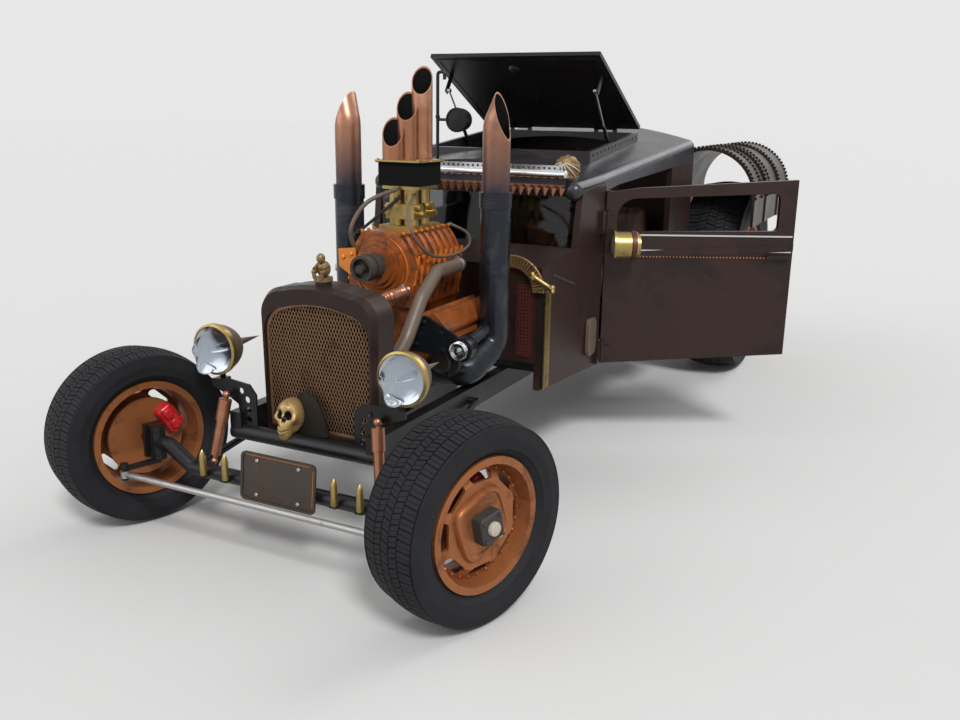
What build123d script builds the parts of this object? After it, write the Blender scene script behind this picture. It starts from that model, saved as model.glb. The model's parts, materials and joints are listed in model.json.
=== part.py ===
# Chopped and channelled rat rod truck, built in millimetres.
# While it is built, X is the car's left, Y runs rearwards from the front axle and Z is up.
# At the end the whole car is moved so that the middle of its box stands on the origin.
import copy
import os
from functools import cache
from math import atan2, cos, degrees, radians, sin, tan

from build123d import *

os.makedirs("parts", exist_ok=True)

# Front wheels and tyres
front_tyre_radius = 336.0
front_tyre_width = 222.0
front_rim_radius = 221.0
front_rim_width = 186.0
kingpin_half_track = 600.0
kingpin_to_wheel = 150.0
steer_rest = 18.0

# Rear wheels and tyres
rear_tyre_radius = 580.0
rear_tyre_width = 340.0
rear_rim_radius = 335.0
rear_rim_width = 300.0
rear_half_track = 730.0
wheelbase = 3500.0
hub_radius = 42.0
spindle_radius = 21.0
spindle_depth = 20.0
brake_radius = 150.0
brake_thickness = 12.0
front_hub_start = -54.0
rear_hub_start = -130.0

# Front axle and steering
axle_radius = 28.0
axle_z = 264.0
axle_drop_inner = 430.0
axle_drop_outer = 545.0
boss_radius = 28.0
boss_height = 92.0
kingpin_radius = 12.0
pin_clearance = 0.5
ear_gap = 1.0
ear_height = 18.0
arm_length = 140.0
arm_height = 14.0
ball_pin_radius = 8.0
tie_rod_radius = 12.0
tie_eye_radius = 17.0
tie_eye_height = 26.0
tie_rod_z = 243.0

caliper_turn = -62.0

# What stands on the axle
bullet_places = (-342.0, -238.0, 238.0, 342.0)
bullet_y = -44.0
bullet_radius = 13.0
bullet_height = 98.0
plate_width = 305.0
plate_height = 160.0
plate_z = 305.0
plate_edge = 9.0

# Frame
rail_x = 300.0
rail_width = 50.0
rail_height = 90.0
rail_z = 430.0
rail_front = 95.0
kick_start = 2780.0
kick_end = 3130.0
kick_z = 745.0
rail_rear = 4000.0
cross_radius = 30.0
cradle_y = 235.0
front_cross_y = 120.0
front_cross_z = 395.0
front_cross_half = 325.0

# Lamps at the front
lamp_x = 407.0
lamp_z = 694.0
lamp_front_y = 120.0
lamp_radius = 89.0
lamp_ring_radius = 97.0
lamp_depth = 125.0
spike_length = 130.0
spike_radius = 17.0
lamp_cover_reach = 92.0
lamp_cover_dome = 58.0
bracket_thickness = 8.0
bracket_y = 150.0

lamp_mid_y = lamp_front_y + 40.0
shock_top_x = 330.0
shock_top_y = 104.0
shock_top_z = 540.0
shock_low_x = 366.0
shock_low_y = axle_radius + 14.0
shock_low_z = axle_z + 24.0
link_front_x = 425.0
link_y = 800.0
link_z = 420.0
link_radius = 14.0
skull_x = -92.0
skull_y = 140.0
skull_z = 440.0

# Grille shell
shell_half_width = 252.0
shell_bottom = 372.0
shell_shoulder = 905.0
shell_top = 958.0
shell_front = 195.0
shell_depth = 130.0
shell_wall = 9.0
radiator_inset = 10.0
radiator_thickness = 60.0
mesh_half_width = 228.0
mesh_bottom = 412.0
mesh_shoulder = 835.0
mesh_top = 890.0
mesh_pitch = 30.0
mesh_rise = 56.0
mesh_bar = 3.0
mesh_edge = 9.0
mesh_thickness = 5.0

# Engine
engine_front = 610.0
engine_length = 480.0
engine_bottom = 350.0
crank_z = 500.0
block_half_width = 150.0
deck_z = 790.0
blower_half_width = 150.0
blower_bottom = 815.0
blower_top = 1100.0
blower_front = 635.0
blower_length = 400.0
snout_z = 978.0
snout_radius = 50.0
snout_length = 95.0
carb_y = 862.0
box_bottom = 1272.0
box_height = 98.0
box_half = 96.0
intake_radius = 42.0
intake_mouth_slant = 54.0
intake_stacks = ((-40.0, 800.0, 1490.0), (-14.0, 868.0, 1590.0), (22.0, 925.0, 1690.0))
gearbox_rear = 1790.0

hose_x = 205.0
hose_radius = 27.0

# Exhaust
stack_x = 350.0
stack_y = 940.0
stack_radius = 62.0
stack_joint_z = 1215.0
stack_sleeve = 60.0
tip_radius = 55.0
tip_top = 1620.0
tip_mouth_slant = 70.0

# Cab
body_wall = 30.0
cowl_front = 1120.0
cowl_half_front = 485.0
hinge_y = 1645.0
hinge_x = 565.0
cab_side_angle = 4.0
door_length = 870.0
door_gap = 7.0
sill_front_z = 400.0
sill_z = 410.0
sill_rise = 53.0
cowl_top_front = 935.0
cowl_top_z = 985.0
screen_y = 1415.0
roof_edge_front = 1245.0
roof_rise = 0.108
roof_front_y = 1440.0
roof_crown = 80.0
roof_shoulder = 42.0
roof_thickness = 26.0
stalk_x = -228.0
stalk_radius = 8.0
spot_z = 1522.0
spot_out = 118.0
spot_radius = 55.0
cab_rear_y = 2860.0

tunnel_half = 175.0
tunnel_top = 672.0
rear_tunnel_half = 60.0
rear_tunnel_top = 600.0
seat_half = 480.0
seat_front = 2080.0
seat_rear = 2600.0
seat_z = 606.0
pad_round = 30.0
back_thickness = 120.0
back_lean = 8.0
wheel_x = 270.0
hinge_out = 14.0
hinge_back = 6.0
hinge_half = 30.0
hinge_knuckle = 20.0
hinge_pin_radius = 5.0
door_hinge_heights = (470.0, 1080.0)

# Doors
door_thickness = 34.0
door_open = 59.0
door_top_front = 1212.0
door_knee_s = 150.0
door_top_knee = 1234.0
door_top_rear = 1279.0
door_window_bottom = 1035.0
window_front_round = 90.0
window_rear_round = 24.0
door_hinge_radius = 11.0
door_lamp_z = 985.0
door_lamp_s = 26.0
door_lamp_length = 108.0
door_lamp_radius = 60.0
door_lamp_out = 78.0
strip_z = 905.0
strip_height = 34.0
strip_proud = 4.0

# Roof hatch and its gas struts
hatch_half_width = 446.0
hatch_hinge_y = 2500.0
hatch_length = 760.0
hatch_thickness = 20.0
hatch_open = 33.0
hatch_gap = 6.0
opening_half = 418.0
hatch_hinge_places = (-250.0, 250.0)
hatch_barrel = 9.0
hatch_barrel_half = 40.0
hatch_knuckle = 24.0
strut_x = 395.0
strut_radius = 9.0
strut_rod_radius = 4.5
strut_base_y = 2270.0
strut_base_z = 1250.0
strut_eye_y = 1914.0
strut_eye_z = 1315.0
strut_tube_length = 325.0
strut_eye_radius = 10.0
strut_eye_half = 9.0
strut_pin_radius = 4.0
strut_plate = 6.0

# Rear fenders and bed
fender_x = 710.0
fender_radius = 280.0
fender_z = 1100.0
fender_wall = 8.0
fender_front = 2935.0
fender_rear = 4010.0
bed_half_width = 430.0
bed_floor = 790.0
bed_top = fender_z
bed_wall = 10.0
fender_bands = ((2935.0, 3135.0), (3290.0, 3400.0), (3700.0, 4010.0))
chain_width = 16.0
chain_links = 38

sides = (("left", 1), ("right", -1))


def block(x0, x1, y0, y1, z0, z1):
    """A box between two corners."""
    return Pos((x0 + x1) / 2, (y0 + y1) / 2, (z0 + z1) / 2) * Box(x1 - x0, y1 - y0, z1 - z0)


def rod(start, end, radius):
    """A round bar from one point to another."""
    line = Vector(*end) - Vector(*start)
    place = Plane(origin=start, z_dir=line)
    return place * Cylinder(radius, line.length, align=(Align.CENTER, Align.CENTER, Align.MIN))


def pipe(points, radius, bend):
    """A round bar along straight runs joined by tangent arcs."""
    path = FilletPolyline(*points, radius=bend)
    start = Plane(origin=path @ 0, z_dir=path % 0)
    return sweep(start * Circle(radius), path=path)


def ring_x(outer, inner, x0, x1):
    """A flat ring about the X axis."""
    place = Plane(origin=(x0, 0, 0), z_dir=(1, 0, 0))
    return extrude(place * (Circle(outer) - Circle(inner)), x1 - x0)


def slab_x(outline, x0, x1):
    """An outline of (y, z) points, thick along X."""
    return extrude(Plane(origin=(x0, 0, 0), x_dir=(0, 1, 0), z_dir=(1, 0, 0))
                   * Polygon(*outline, align=None), x1 - x0)


def slab_y(outline, y0, y1):
    """An outline of (x, z) points, thick along Y."""
    place = Plane(origin=(0, y1, 0), x_dir=(1, 0, 0), z_dir=(0, -1, 0))
    return extrude(place * Polygon(*outline, align=None), y1 - y0)


def both_sides(shape):
    """The piece and its mirror image on the car's other side."""
    return [shape, mirror(shape, Plane.YZ)]


def along_side(s):
    """A point on the closed door's outer skin, s back from the hinge, as (x, y)."""
    angle = radians(cab_side_angle)
    return hinge_x + s * sin(angle), hinge_y + s * cos(angle)


def side_plane(s, angle):
    """A plane on the left skin at s: its x runs rearwards and its y is up."""
    x, y = along_side(s)
    turn = radians(angle)
    return Plane(origin=(x, y, 0), x_dir=(sin(turn), cos(turn), 0), z_dir=(cos(turn), -sin(turn), 0))


def roof_edge_z(y):
    """Height of the roof's side edge, which rises rearwards."""
    return roof_edge_front + (y - roof_front_y) * roof_rise


# Wheels: turned about the X axis, outer face to +X


def rim(radius, width, offset, hub_start, window_count, window_width):
    """A steel rim with a dished disc, cut with D-shaped windows, and a hub bored for its spindle."""
    half = width / 2
    well = radius - 34
    barrel_line = [
        (-half, radius), (-half + 14, radius), (-half + 14, radius - 16), (-half * 0.3, well + 4),
        (half * 0.35, well + 4), (half - 14, radius - 16), (half - 14, radius), (half, radius),
        (half, radius - 24), (half * 0.45, well - 4), (-half * 0.35, well - 4), (-half, radius - 24),
    ]
    barrel = revolve(Polygon(*barrel_line, align=None), Axis.X)
    disc_line = [
        (offset - 6, 0), (offset - 6, radius * 0.36), (offset + 26, radius * 0.52), (offset + 30,
                                                                                     radius * 0.66),
        (offset + 6, well - 3), (offset + 16, well - 3), (offset + 40, radius * 0.67), (offset + 36,
                                                                                        radius * 0.5),
        (offset + 6, radius * 0.33), (offset + 6, 0),
    ]
    disc = revolve(Polygon(*disc_line[:-1], align=None), Axis.X)
    window = Pos(0, radius * 0.70, 0) * SlotOverall(window_width, radius * 0.13)
    for index in range(window_count):
        turned = Rot(0, 0, 360 * index / window_count) * window
        disc = disc - extrude(Plane(origin=(offset - 30, 0, 0), z_dir=(1, 0, 0)) * turned, 100)
    hub = rod((hub_start, 0, 0), (offset + 55, 0, 0), hub_radius)
    cap = rod((offset + 55, 0, 0), (offset + 85, 0, 0), hub_radius * 0.7)
    bore = rod((hub_start, 0, 0), (hub_start + spindle_depth + ear_gap, 0, 0), spindle_radius + pin_clearance)
    return barrel + disc + hub + cap - bore


def tyre(radius, width, rim_radius, crown):
    """A tyre ring with rounded shoulders and a bulged sidewall."""
    half = width / 2
    bead = rim_radius - 14
    outline = (
        Line((-half + 34, bead), (half - 34, bead))
        + Line((half - 34, bead), (half - 30, rim_radius + 8))
        + ThreePointArc((half - 30, rim_radius + 8), (half, (rim_radius + radius) / 2),
                        (half - 12, radius - 22))
        + ThreePointArc((half - 12, radius - 22), (half - 22, radius - 9), (half - 44, radius - crown))
        + ThreePointArc((half - 44, radius - crown), (0, radius), (-half + 44, radius - crown))
        + ThreePointArc((-half + 44, radius - crown), (-half + 22, radius - 9), (-half + 12, radius - 22))
        + ThreePointArc((-half + 12, radius - 22), (-half, (rim_radius + radius) / 2),
                        (-half + 30, rim_radius + 8))
        + Line((-half + 30, rim_radius + 8), (-half + 34, bead))
    )
    return revolve(make_face(outline), Axis.X)



def to_side(shape, side):
    return shape if side > 0 else mirror(shape, Plane.YZ)


def steered(shape, side):
    """Turns a piece about its own kingpin, to the steering angle that the car stands at."""
    place = Pos(side * kingpin_half_track, 0, 0)
    return place * Rot(0, 0, -steer_rest) * place.inverse() * shape


def make_front_wheels(parts):
    wheel = rim(front_rim_radius, front_rim_width, 28, front_hub_start, 8, 92)
    disc = ring_x(brake_radius, hub_radius - 4, front_hub_start, front_hub_start + brake_thickness)
    rubber = tyre(front_tyre_radius, front_tyre_width, front_rim_radius, 7)
    place = Pos(kingpin_half_track + kingpin_to_wheel, 0, front_tyre_radius)
    for name, side in sides:
        parts["wheel_front_" + name] = steered(to_side(place * (wheel + disc), side), side)
        parts["tyre_front_" + name] = steered(to_side(place * (rubber - wheel), side), side)


def make_rear_wheels(parts):
    wheel = rim(rear_rim_radius, rear_rim_width, -20, rear_hub_start, 8, 140)
    rubber = tyre(rear_tyre_radius, rear_tyre_width, rear_rim_radius, 14)
    place = Pos(rear_half_track, wheelbase, rear_tyre_radius)
    for name, side in sides:
        parts["wheel_rear_" + name] = to_side(place * wheel, side)
        parts["tyre_rear_" + name] = to_side(place * (rubber - wheel), side)


def make_front_axle(parts):
    """A dropped tube with a bored boss for the kingpin at each end."""
    top_z = front_tyre_radius
    points = [(-kingpin_half_track, 0, top_z), (-axle_drop_outer, 0, top_z), (-axle_drop_inner, 0, axle_z),
              (axle_drop_inner, 0, axle_z), (axle_drop_outer, 0, top_z), (kingpin_half_track, 0, top_z)]
    beam = pipe(points, axle_radius, 50)
    for side in (-1, 1):
        x = side * kingpin_half_track
        boss = rod((x, 0, top_z - boss_height / 2), (x, 0, top_z + boss_height / 2), boss_radius)
        bore = rod((x, 0, top_z - boss_height), (x, 0, top_z + boss_height), kingpin_radius + pin_clearance)
        beam = beam + boss - bore
    for x in bullet_places:
        beam = beam + block(x - 14, x + 14, bullet_y - 14, 0, axle_z - 3, axle_z + 3)
    for side in (-1, 1):
        beam = beam + rod((side * shock_low_x, 0, axle_z), (side * shock_low_x, shock_low_y, shock_low_z), 9)
        link_x = rail_x + rail_width / 2 + 20
        beam = beam + rod((side * link_front_x, 0, axle_z), (side * link_x, link_y, link_z), link_radius)
        beam = beam + rod((side * (rail_x + rail_width / 2), link_y, link_z),
                          (side * (link_x + 12), link_y, link_z), 16)
    parts["front_axle"] = beam


def make_knuckles(parts):
    """Ears above and below the boss, the kingpin, an upright, the spindle, the arm and the caliper."""
    top_z = front_tyre_radius
    ear_low = top_z - boss_height / 2 - ear_gap - ear_height
    ear_top = top_z + boss_height / 2 + ear_gap
    upright_x = boss_radius + 10
    knuckle = rod((0, 0, ear_low), (0, 0, ear_top + ear_height), kingpin_radius)
    for z in (ear_low, ear_top):
        ear = rod((0, 0, z), (0, 0, z + ear_height), boss_radius)
        knuckle = knuckle + ear + block(0, upright_x + 5, -24, 24, z, z + ear_height)
    knuckle = knuckle + block(upright_x, upright_x + 18, -34, 34, ear_low, ear_top + ear_height)
    disc_x = kingpin_to_wheel + front_hub_start
    knuckle = knuckle + rod((upright_x + 5, 0, top_z), (disc_x + spindle_depth, 0, top_z), spindle_radius)
    arm = [(-14, 0), (14, 0), (12, -arm_length), (-12, -arm_length)]
    arm_plate = extrude(Plane(origin=(0, 0, ear_low)) * Polygon(*arm, align=None), arm_height)
    tip = rod((0, -arm_length, ear_low), (0, -arm_length, ear_low + arm_height), 15)
    eye_low = tie_rod_z - tie_eye_height / 2
    pin = rod((0, -arm_length, eye_low - 4), (0, -arm_length, ear_low), ball_pin_radius)
    head = rod((0, -arm_length, eye_low - 10), (0, -arm_length, eye_low - 3), ball_pin_radius + 4)
    knuckle = knuckle + arm_plate + tip + pin + head
    jaw = 10
    slot = block(disc_x - 4, disc_x + brake_thickness + 4, -90, 90, 0, brake_radius + 5)
    caliper = block(disc_x - 4 - jaw, disc_x + brake_thickness + 4 + jaw, -46, 46, 92, 165) - slot
    bridge = block(upright_x + 18, disc_x - 4, -18, 18, spindle_radius + 4, 120)
    caliper = Pos(0, 0, top_z) * Rot(caliper_turn, 0, 0) * (caliper + bridge)
    for name, side in sides:
        place = Pos(side * kingpin_half_track, 0, 0)
        parts["knuckle_" + name] = steered(place * to_side(knuckle, side), side)
        parts["caliper_" + name] = steered(place * to_side(caliper, side), side)


def make_tie_rod(parts):
    """A straight bar with an eye round each knuckle's ball pin."""
    half = kingpin_half_track
    bar = rod((-half + tie_eye_radius - 4, -arm_length, tie_rod_z),
              (half - tie_eye_radius + 4, -arm_length, tie_rod_z), tie_rod_radius)
    for x in (-half, half):
        eye = rod((x, -arm_length, tie_rod_z - tie_eye_height / 2),
                  (x, -arm_length, tie_rod_z + tie_eye_height / 2), tie_eye_radius)
        bore = rod((x, -arm_length, tie_rod_z - 60), (x, -arm_length, tie_rod_z + 60),
                   ball_pin_radius + pin_clearance)
        bar = bar + eye - bore
    turn = radians(steer_rest)
    parts["tie_rod"] = Pos(-arm_length * sin(turn), arm_length * (1 - cos(turn)), 0) * bar



# Frame, front end and what stands on it


def make_frame(parts):
    """Two kicked-up rails with tube crossmembers and the perforated lamp brackets."""
    half = rail_height / 2
    outline = [(rail_front, rail_z - half), (kick_start, rail_z - half), (kick_end, kick_z - half),
               (rail_rear, kick_z - half), (rail_rear, kick_z + half), (kick_end - 30, kick_z + half),
               (kick_start - 30, rail_z + half), (rail_front, rail_z + half)]
    frame = slab_x(outline, rail_x - rail_width / 2, rail_x + rail_width / 2)
    frame = frame + mirror(frame, Plane.YZ)
    crosses = ((front_cross_y, front_cross_z, front_cross_half), (kick_start - 60, rail_z, rail_x),
               (rail_rear - 60, kick_z, rail_x), (gearbox_rear - 90, rail_z - 35, rail_x))
    for y, z, half_length in crosses:
        frame = frame + rod((-half_length, y, z), (half_length, y, z), cross_radius)
    cradle = block(-rail_x, rail_x, cradle_y, cradle_y + 50, shell_bottom - 12, shell_bottom)
    for side in (-1, 1):
        cradle = cradle + block(side * rail_x - 22, side * rail_x + 22, cradle_y, cradle_y + 50,
                                shell_bottom - 12,
                                rail_z)
    frame = frame + cradle
    bracket = [(215, front_cross_z), (285, front_cross_z), (300, 500), (350, 528), (424, 556), (424, 582),
               (345, 592), (245, 582), (215, 545)]
    plate = slab_y(bracket, front_cross_y - bracket_thickness / 2, front_cross_y + bracket_thickness / 2)
    for x, z, radius in ((252, 446, 13), (254, 484, 13), (258, 522, 13), (284, 553, 12)):
        plate = plate - rod((x, front_cross_y - 20, z), (x, front_cross_y + 20, z), radius)
    post = rod((lamp_x, lamp_mid_y, 574), (lamp_x, lamp_mid_y, lamp_z - lamp_ring_radius + 14), 11)
    foot = block(lamp_x - 24, lamp_x + 17, front_cross_y - 4, lamp_mid_y + 16, 570, 581)
    plate = plate + post + foot
    shock_pin = rod((shock_top_x, shock_top_y - 22, shock_top_z),
                    (shock_top_x, front_cross_y, shock_top_z), 8)
    plate = plate + shock_pin
    parts["frame"] = frame + plate + mirror(plate, Plane.YZ)


def make_front_shocks(parts):
    """A copper-coloured tube shock on each side, from the axle up to its bracket."""
    top = (shock_top_x, shock_top_y - 16, shock_top_z)
    low = (shock_low_x, shock_low_y, shock_low_z)
    up = Vector(*top) - Vector(*low)
    tube_low = tuple(Vector(*low) + up * 0.10)
    tube_mid = tuple(Vector(*low) + up * 0.62)
    tube_top = tuple(Vector(*low) + up * 0.93)
    shock = rod(low, top, 8) + rod(tube_low, tube_mid, 19) + rod(tube_mid, tube_top, 24)
    shock = shock + Pos(*low) * Sphere(13) + Pos(*top) * Sphere(15)
    shock = shock - parts["frame"] - parts["front_axle"]
    parts["front_shocks"] = both_sides(shock)


def make_bullets(parts):
    """Four brass bullets standing on their tabs."""
    r = bullet_radius
    h = bullet_height
    outline = (Line((0, 0), (r, 0)) + Line((r, 0), (r, h * 0.62))
               + ThreePointArc((r, h * 0.62), (r * 0.74, h * 0.84), (1, h)) + Line((1, h), (0, h))
               + Line((0, h), (0, 0)))
    bullet = revolve(Plane.XZ * make_face(outline), Axis.Z)
    parts["axle_bullets"] = [Pos(x, bullet_y, axle_z + 3) * bullet for x in bullet_places]


def make_number_plate(parts):
    """A blank plate in a thin frame, with two straps to the axle."""
    front_y = -axle_radius - 16
    place = Plane(origin=(0, 0, 0), x_dir=(1, 0, 0), z_dir=(0, -1, 0))
    outer = RectangleRounded(plate_width + 2 * plate_edge, plate_height + 2 * plate_edge, 20)
    inner = RectangleRounded(plate_width, plate_height, 14)
    plate = extrude(place * outer, 4) + extrude(place * (outer - inner), 8)
    plate = Pos(0, front_y + 2, plate_z) * Rot(-6, 0, 0) * plate
    for x in (-90, 90):
        plate = plate + block(x - 10, x + 10, front_y - 5, 0, axle_z - 4, axle_z + 6)
    parts["number_plate"] = plate - parts["front_axle"]


def make_headlamps(parts):
    """Bullet-shaped lamps with a spike behind, a brass ring and a bulged lens."""
    r = lamp_ring_radius - 4
    d = lamp_depth
    outline = (Line((0, 10), (r, 10)) + ThreePointArc((r, 10), (r * 0.83, d * 0.55), (spike_radius, d))
               + Line((spike_radius, d), (1, d + spike_length)) + Line((1, d + spike_length),
                                                                       (0, d + spike_length))
               + Line((0, d + spike_length), (0, 10)))
    shell = revolve(make_face(outline), Axis.Y)
    ring_line = [(lamp_radius, -6), (lamp_ring_radius, -2), (lamp_ring_radius, 18), (r, 18), (r, 10),
                 (lamp_radius, 10)]
    ring = revolve(Polygon(*ring_line, align=None), Axis.Y)
    dome = lamp_cover_dome
    lens_line = (Line((0, 10), (lamp_radius, 10)) + Line((lamp_radius, 10), (lamp_radius, -4))
                 + ThreePointArc((lamp_radius, -4), (lamp_radius * 0.66, -dome * 0.68), (1, -dome))
                 + Line((1, -dome), (0, -dome)) + Line((0, -dome), (0, 10)))
    reach = lamp_cover_reach
    lens = revolve(make_face(lens_line), Axis.Y)
    face = Pos(0, 50 - reach, -20) * Sphere(50) + Pos(0, 44 - reach, -66) * Sphere(36)
    lens = lens + (face - block(-200, 200, -6, 200, -200, 200))
    for side in (-1, 1):
        lens = lens - Pos(side * 25, 10 - reach, 4) * Sphere(17)
    lens = lens - Pos(0, -reach, -28) * Sphere(7)
    post = rod((0, lamp_mid_y - lamp_front_y, -lamp_z),
               (0, lamp_mid_y - lamp_front_y, -lamp_ring_radius + 14), 11)
    shell = shell - post
    for name, shape in (("headlamp_shells", shell), ("headlamp_rings", ring), ("headlamp_lenses", lens)):
        placed = Pos(lamp_x, lamp_front_y, lamp_z) * shape
        parts[name] = both_sides(placed)


def shell_outline(half, bottom, shoulder, top):
    """The grille's front view: straight sides, round shoulders and a crowned top."""
    low = half - 6
    bend = half * 0.62
    return (Line((-low, bottom), (low, bottom)) + Line((low, bottom), (half, shoulder - 70))
            + ThreePointArc((half, shoulder - 70), (half - 22, shoulder),
                            (bend, shoulder + (top - shoulder) * 0.62))
            + ThreePointArc((bend, shoulder + (top - shoulder) * 0.62), (0, top),
                            (-bend, shoulder + (top - shoulder) * 0.62))
            + ThreePointArc((-bend, shoulder + (top - shoulder) * 0.62), (-half + 22, shoulder),
                            (-half, shoulder - 70))
            + Line((-half, shoulder - 70), (-low, bottom)))


def shell_face(half, bottom, shoulder, top, y):
    """That outline as a face across the car at y."""
    place = Plane(origin=(0, y, 0), x_dir=(1, 0, 0), z_dir=(0, -1, 0))
    return place * make_face(shell_outline(half, bottom, shoulder, top))


def make_mesh(mesh_y):
    """Expanded metal: a sheet cut by staggered upright diamonds, with a plain edge."""
    outer = make_face(shell_outline(mesh_half_width, mesh_bottom, mesh_shoulder, mesh_top))
    inner = make_face(shell_outline(mesh_half_width - mesh_edge, mesh_bottom + mesh_edge,
                                    mesh_shoulder - mesh_edge,
                                    mesh_top - mesh_edge))
    wide = mesh_pitch / 2 - mesh_bar
    tall = mesh_rise / 2 - mesh_bar * mesh_rise / mesh_pitch
    rows = int((mesh_top - mesh_bottom) / mesh_rise * 2) + 1
    columns = int(mesh_half_width / mesh_pitch) + 1
    diamonds = []
    for row in range(rows):
        for column in range(-columns, columns + 1):
            x = (column + 0.5 * (row % 2)) * mesh_pitch
            z = mesh_bottom + row * mesh_rise / 2
            diamonds.append(Pos(x, z) * Polygon((wide, 0), (0, tall), (-wide, 0), (0, -tall), align=None))
    holes = (Sketch() + diamonds) & inner
    place = Plane(origin=(0, mesh_y + mesh_thickness, 0), x_dir=(1, 0, 0), z_dir=(0, -1, 0))
    return extrude(place * (outer - holes), mesh_thickness)


def make_grille(parts):
    """A deep rounded shell open at the back, with an expanded-metal mesh set in its front."""
    rear = shell_front + shell_depth
    outer = loft([shell_face(shell_half_width - 14, shell_bottom, shell_shoulder - 8, shell_top - 12,
                             shell_front),
                  shell_face(shell_half_width, shell_bottom, shell_shoulder, shell_top, shell_front + 28)])
    outer = outer + extrude(shell_face(shell_half_width, shell_bottom, shell_shoulder, shell_top, rear),
                            shell_depth - 28)
    hollow = extrude(shell_face(shell_half_width - shell_wall, shell_bottom + shell_wall,
                                shell_shoulder - shell_wall,
                                shell_top - shell_wall, rear + 1), shell_depth - 29)
    window = extrude(shell_face(mesh_half_width, mesh_bottom, mesh_shoulder, mesh_top, rear + 1),
                     shell_depth + 40)
    shell = outer - hollow - window
    neck = rod((0, shell_front + 62, shell_top - 20), (0, shell_front + 62, shell_top + 12), 30)
    parts["grille_shell"] = shell + (neck - hollow)
    parts["grille_mesh"] = make_mesh(shell_front + 16)
    core = extrude(shell_face(shell_half_width - shell_wall, shell_bottom + shell_wall,
                              shell_shoulder - shell_wall,
                              shell_top - shell_wall, rear - radiator_inset), radiator_thickness)
    parts["radiator"] = core


def make_skull(parts):
    """A skull at the foot of the mesh: a domed cranium, brow, cheeks, sockets and jaw."""
    skull = Pos(12, 20, 46) * Sphere(58) + Pos(-4, -14, 32) * Sphere(46)
    skull = skull + Pos(-6, -24, -18) * Cone(27, 36, 64)
    skull = skull + rod((-26, -32, -50), (16, -32, -50), 20)
    for side in (-1, 1):
        skull = skull + Pos(-5 + side * 30, -26, 0) * Sphere(17)
        skull = skull - Pos(-5 + side * 21, -60, 18) * Sphere(15)
        skull = skull - Pos(-5 + side * 44, -36, -34) * Sphere(15)
    skull = skull - Pos(-5, -64, -10) * Sphere(9)
    skull = Pos(skull_x, skull_y, skull_z) * Rot(0, 0, -14) * skull
    mesh_front = shell_front + 16
    skull = skull - block(-300, 300, mesh_front, mesh_front + 200, 200, 800)
    tube = rod((-front_cross_half, front_cross_y, front_cross_z),
               (front_cross_half, front_cross_y, front_cross_z),
               cross_radius)
    parts["skull_ornament"] = (skull - tube).solids().sort_by(SortBy.VOLUME)[-1]


def make_cap_figure(parts):
    """The radiator cap with a small crouched figure on it."""
    y = shell_front + 62
    z = shell_top + 12
    cap = rod((0, y, z), (0, y, z + 14), 34)
    body = Pos(0, y + 4, z + 42) * scale(Sphere(1), (24, 26, 30))
    head = Pos(0, y - 12, z + 82) * scale(Sphere(1), (15, 17, 18))
    figure = cap + body + head
    for side in (-1, 1):
        knee = Pos(side * 18, y - 26, z + 36) * scale(Sphere(1), (9, 16, 10))
        arm = rod((side * 22, y + 2, z + 58), (side * 14, y - 34, z + 46), 6.5)
        shin = rod((side * 18, y - 34, z + 36), (side * 16, y - 30, z + 12), 7)
        figure = figure + knee + arm + shin
    parts["cap_figure"] = figure


# Engine


def make_engine(parts):
    """A V8 block with its heads and covers, sump, intake manifold and front drive."""
    rear = engine_front + engine_length
    z = crank_z
    outline = [(-95, engine_bottom), (95, engine_bottom), (125, z - 80), (block_half_width, z - 40),
               (block_half_width, z + 40), (235, z + 150), (150, deck_z - 35), (70, deck_z - 90),
               (-70, deck_z - 90),
               (-150, deck_z - 35), (-235, z + 150), (-block_half_width, z + 40), (-block_half_width, z - 40),
               (-125, z - 80)]
    engine = slab_y(outline, engine_front, rear)
    for side in (-1, 1):
        head = block(-75, 75, engine_front + 15, rear - 15, -5, 70)
        cover = block(-50, 50, engine_front + 35, rear - 35, 65, 105)
        cover = fillet(cover.edges().filter_by(Axis.Y).group_by(Axis.Z)[-1], 18)
        bank = Pos(side * 190, 0, z + 200) * Rot(0, side * 45, 0) * (head + cover)
        engine = engine + bank
    manifold = [(-95, deck_z - 95), (95, deck_z - 95), (120, deck_z + 8), (120, blower_bottom),
                (-120, blower_bottom),
                (-120, deck_z + 8)]
    engine = engine + slab_y(manifold, engine_front + 40, rear - 40)
    bell = rod((0, rear, z), (0, rear + 60, z), 150)
    parts["engine"] = engine + bell


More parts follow.
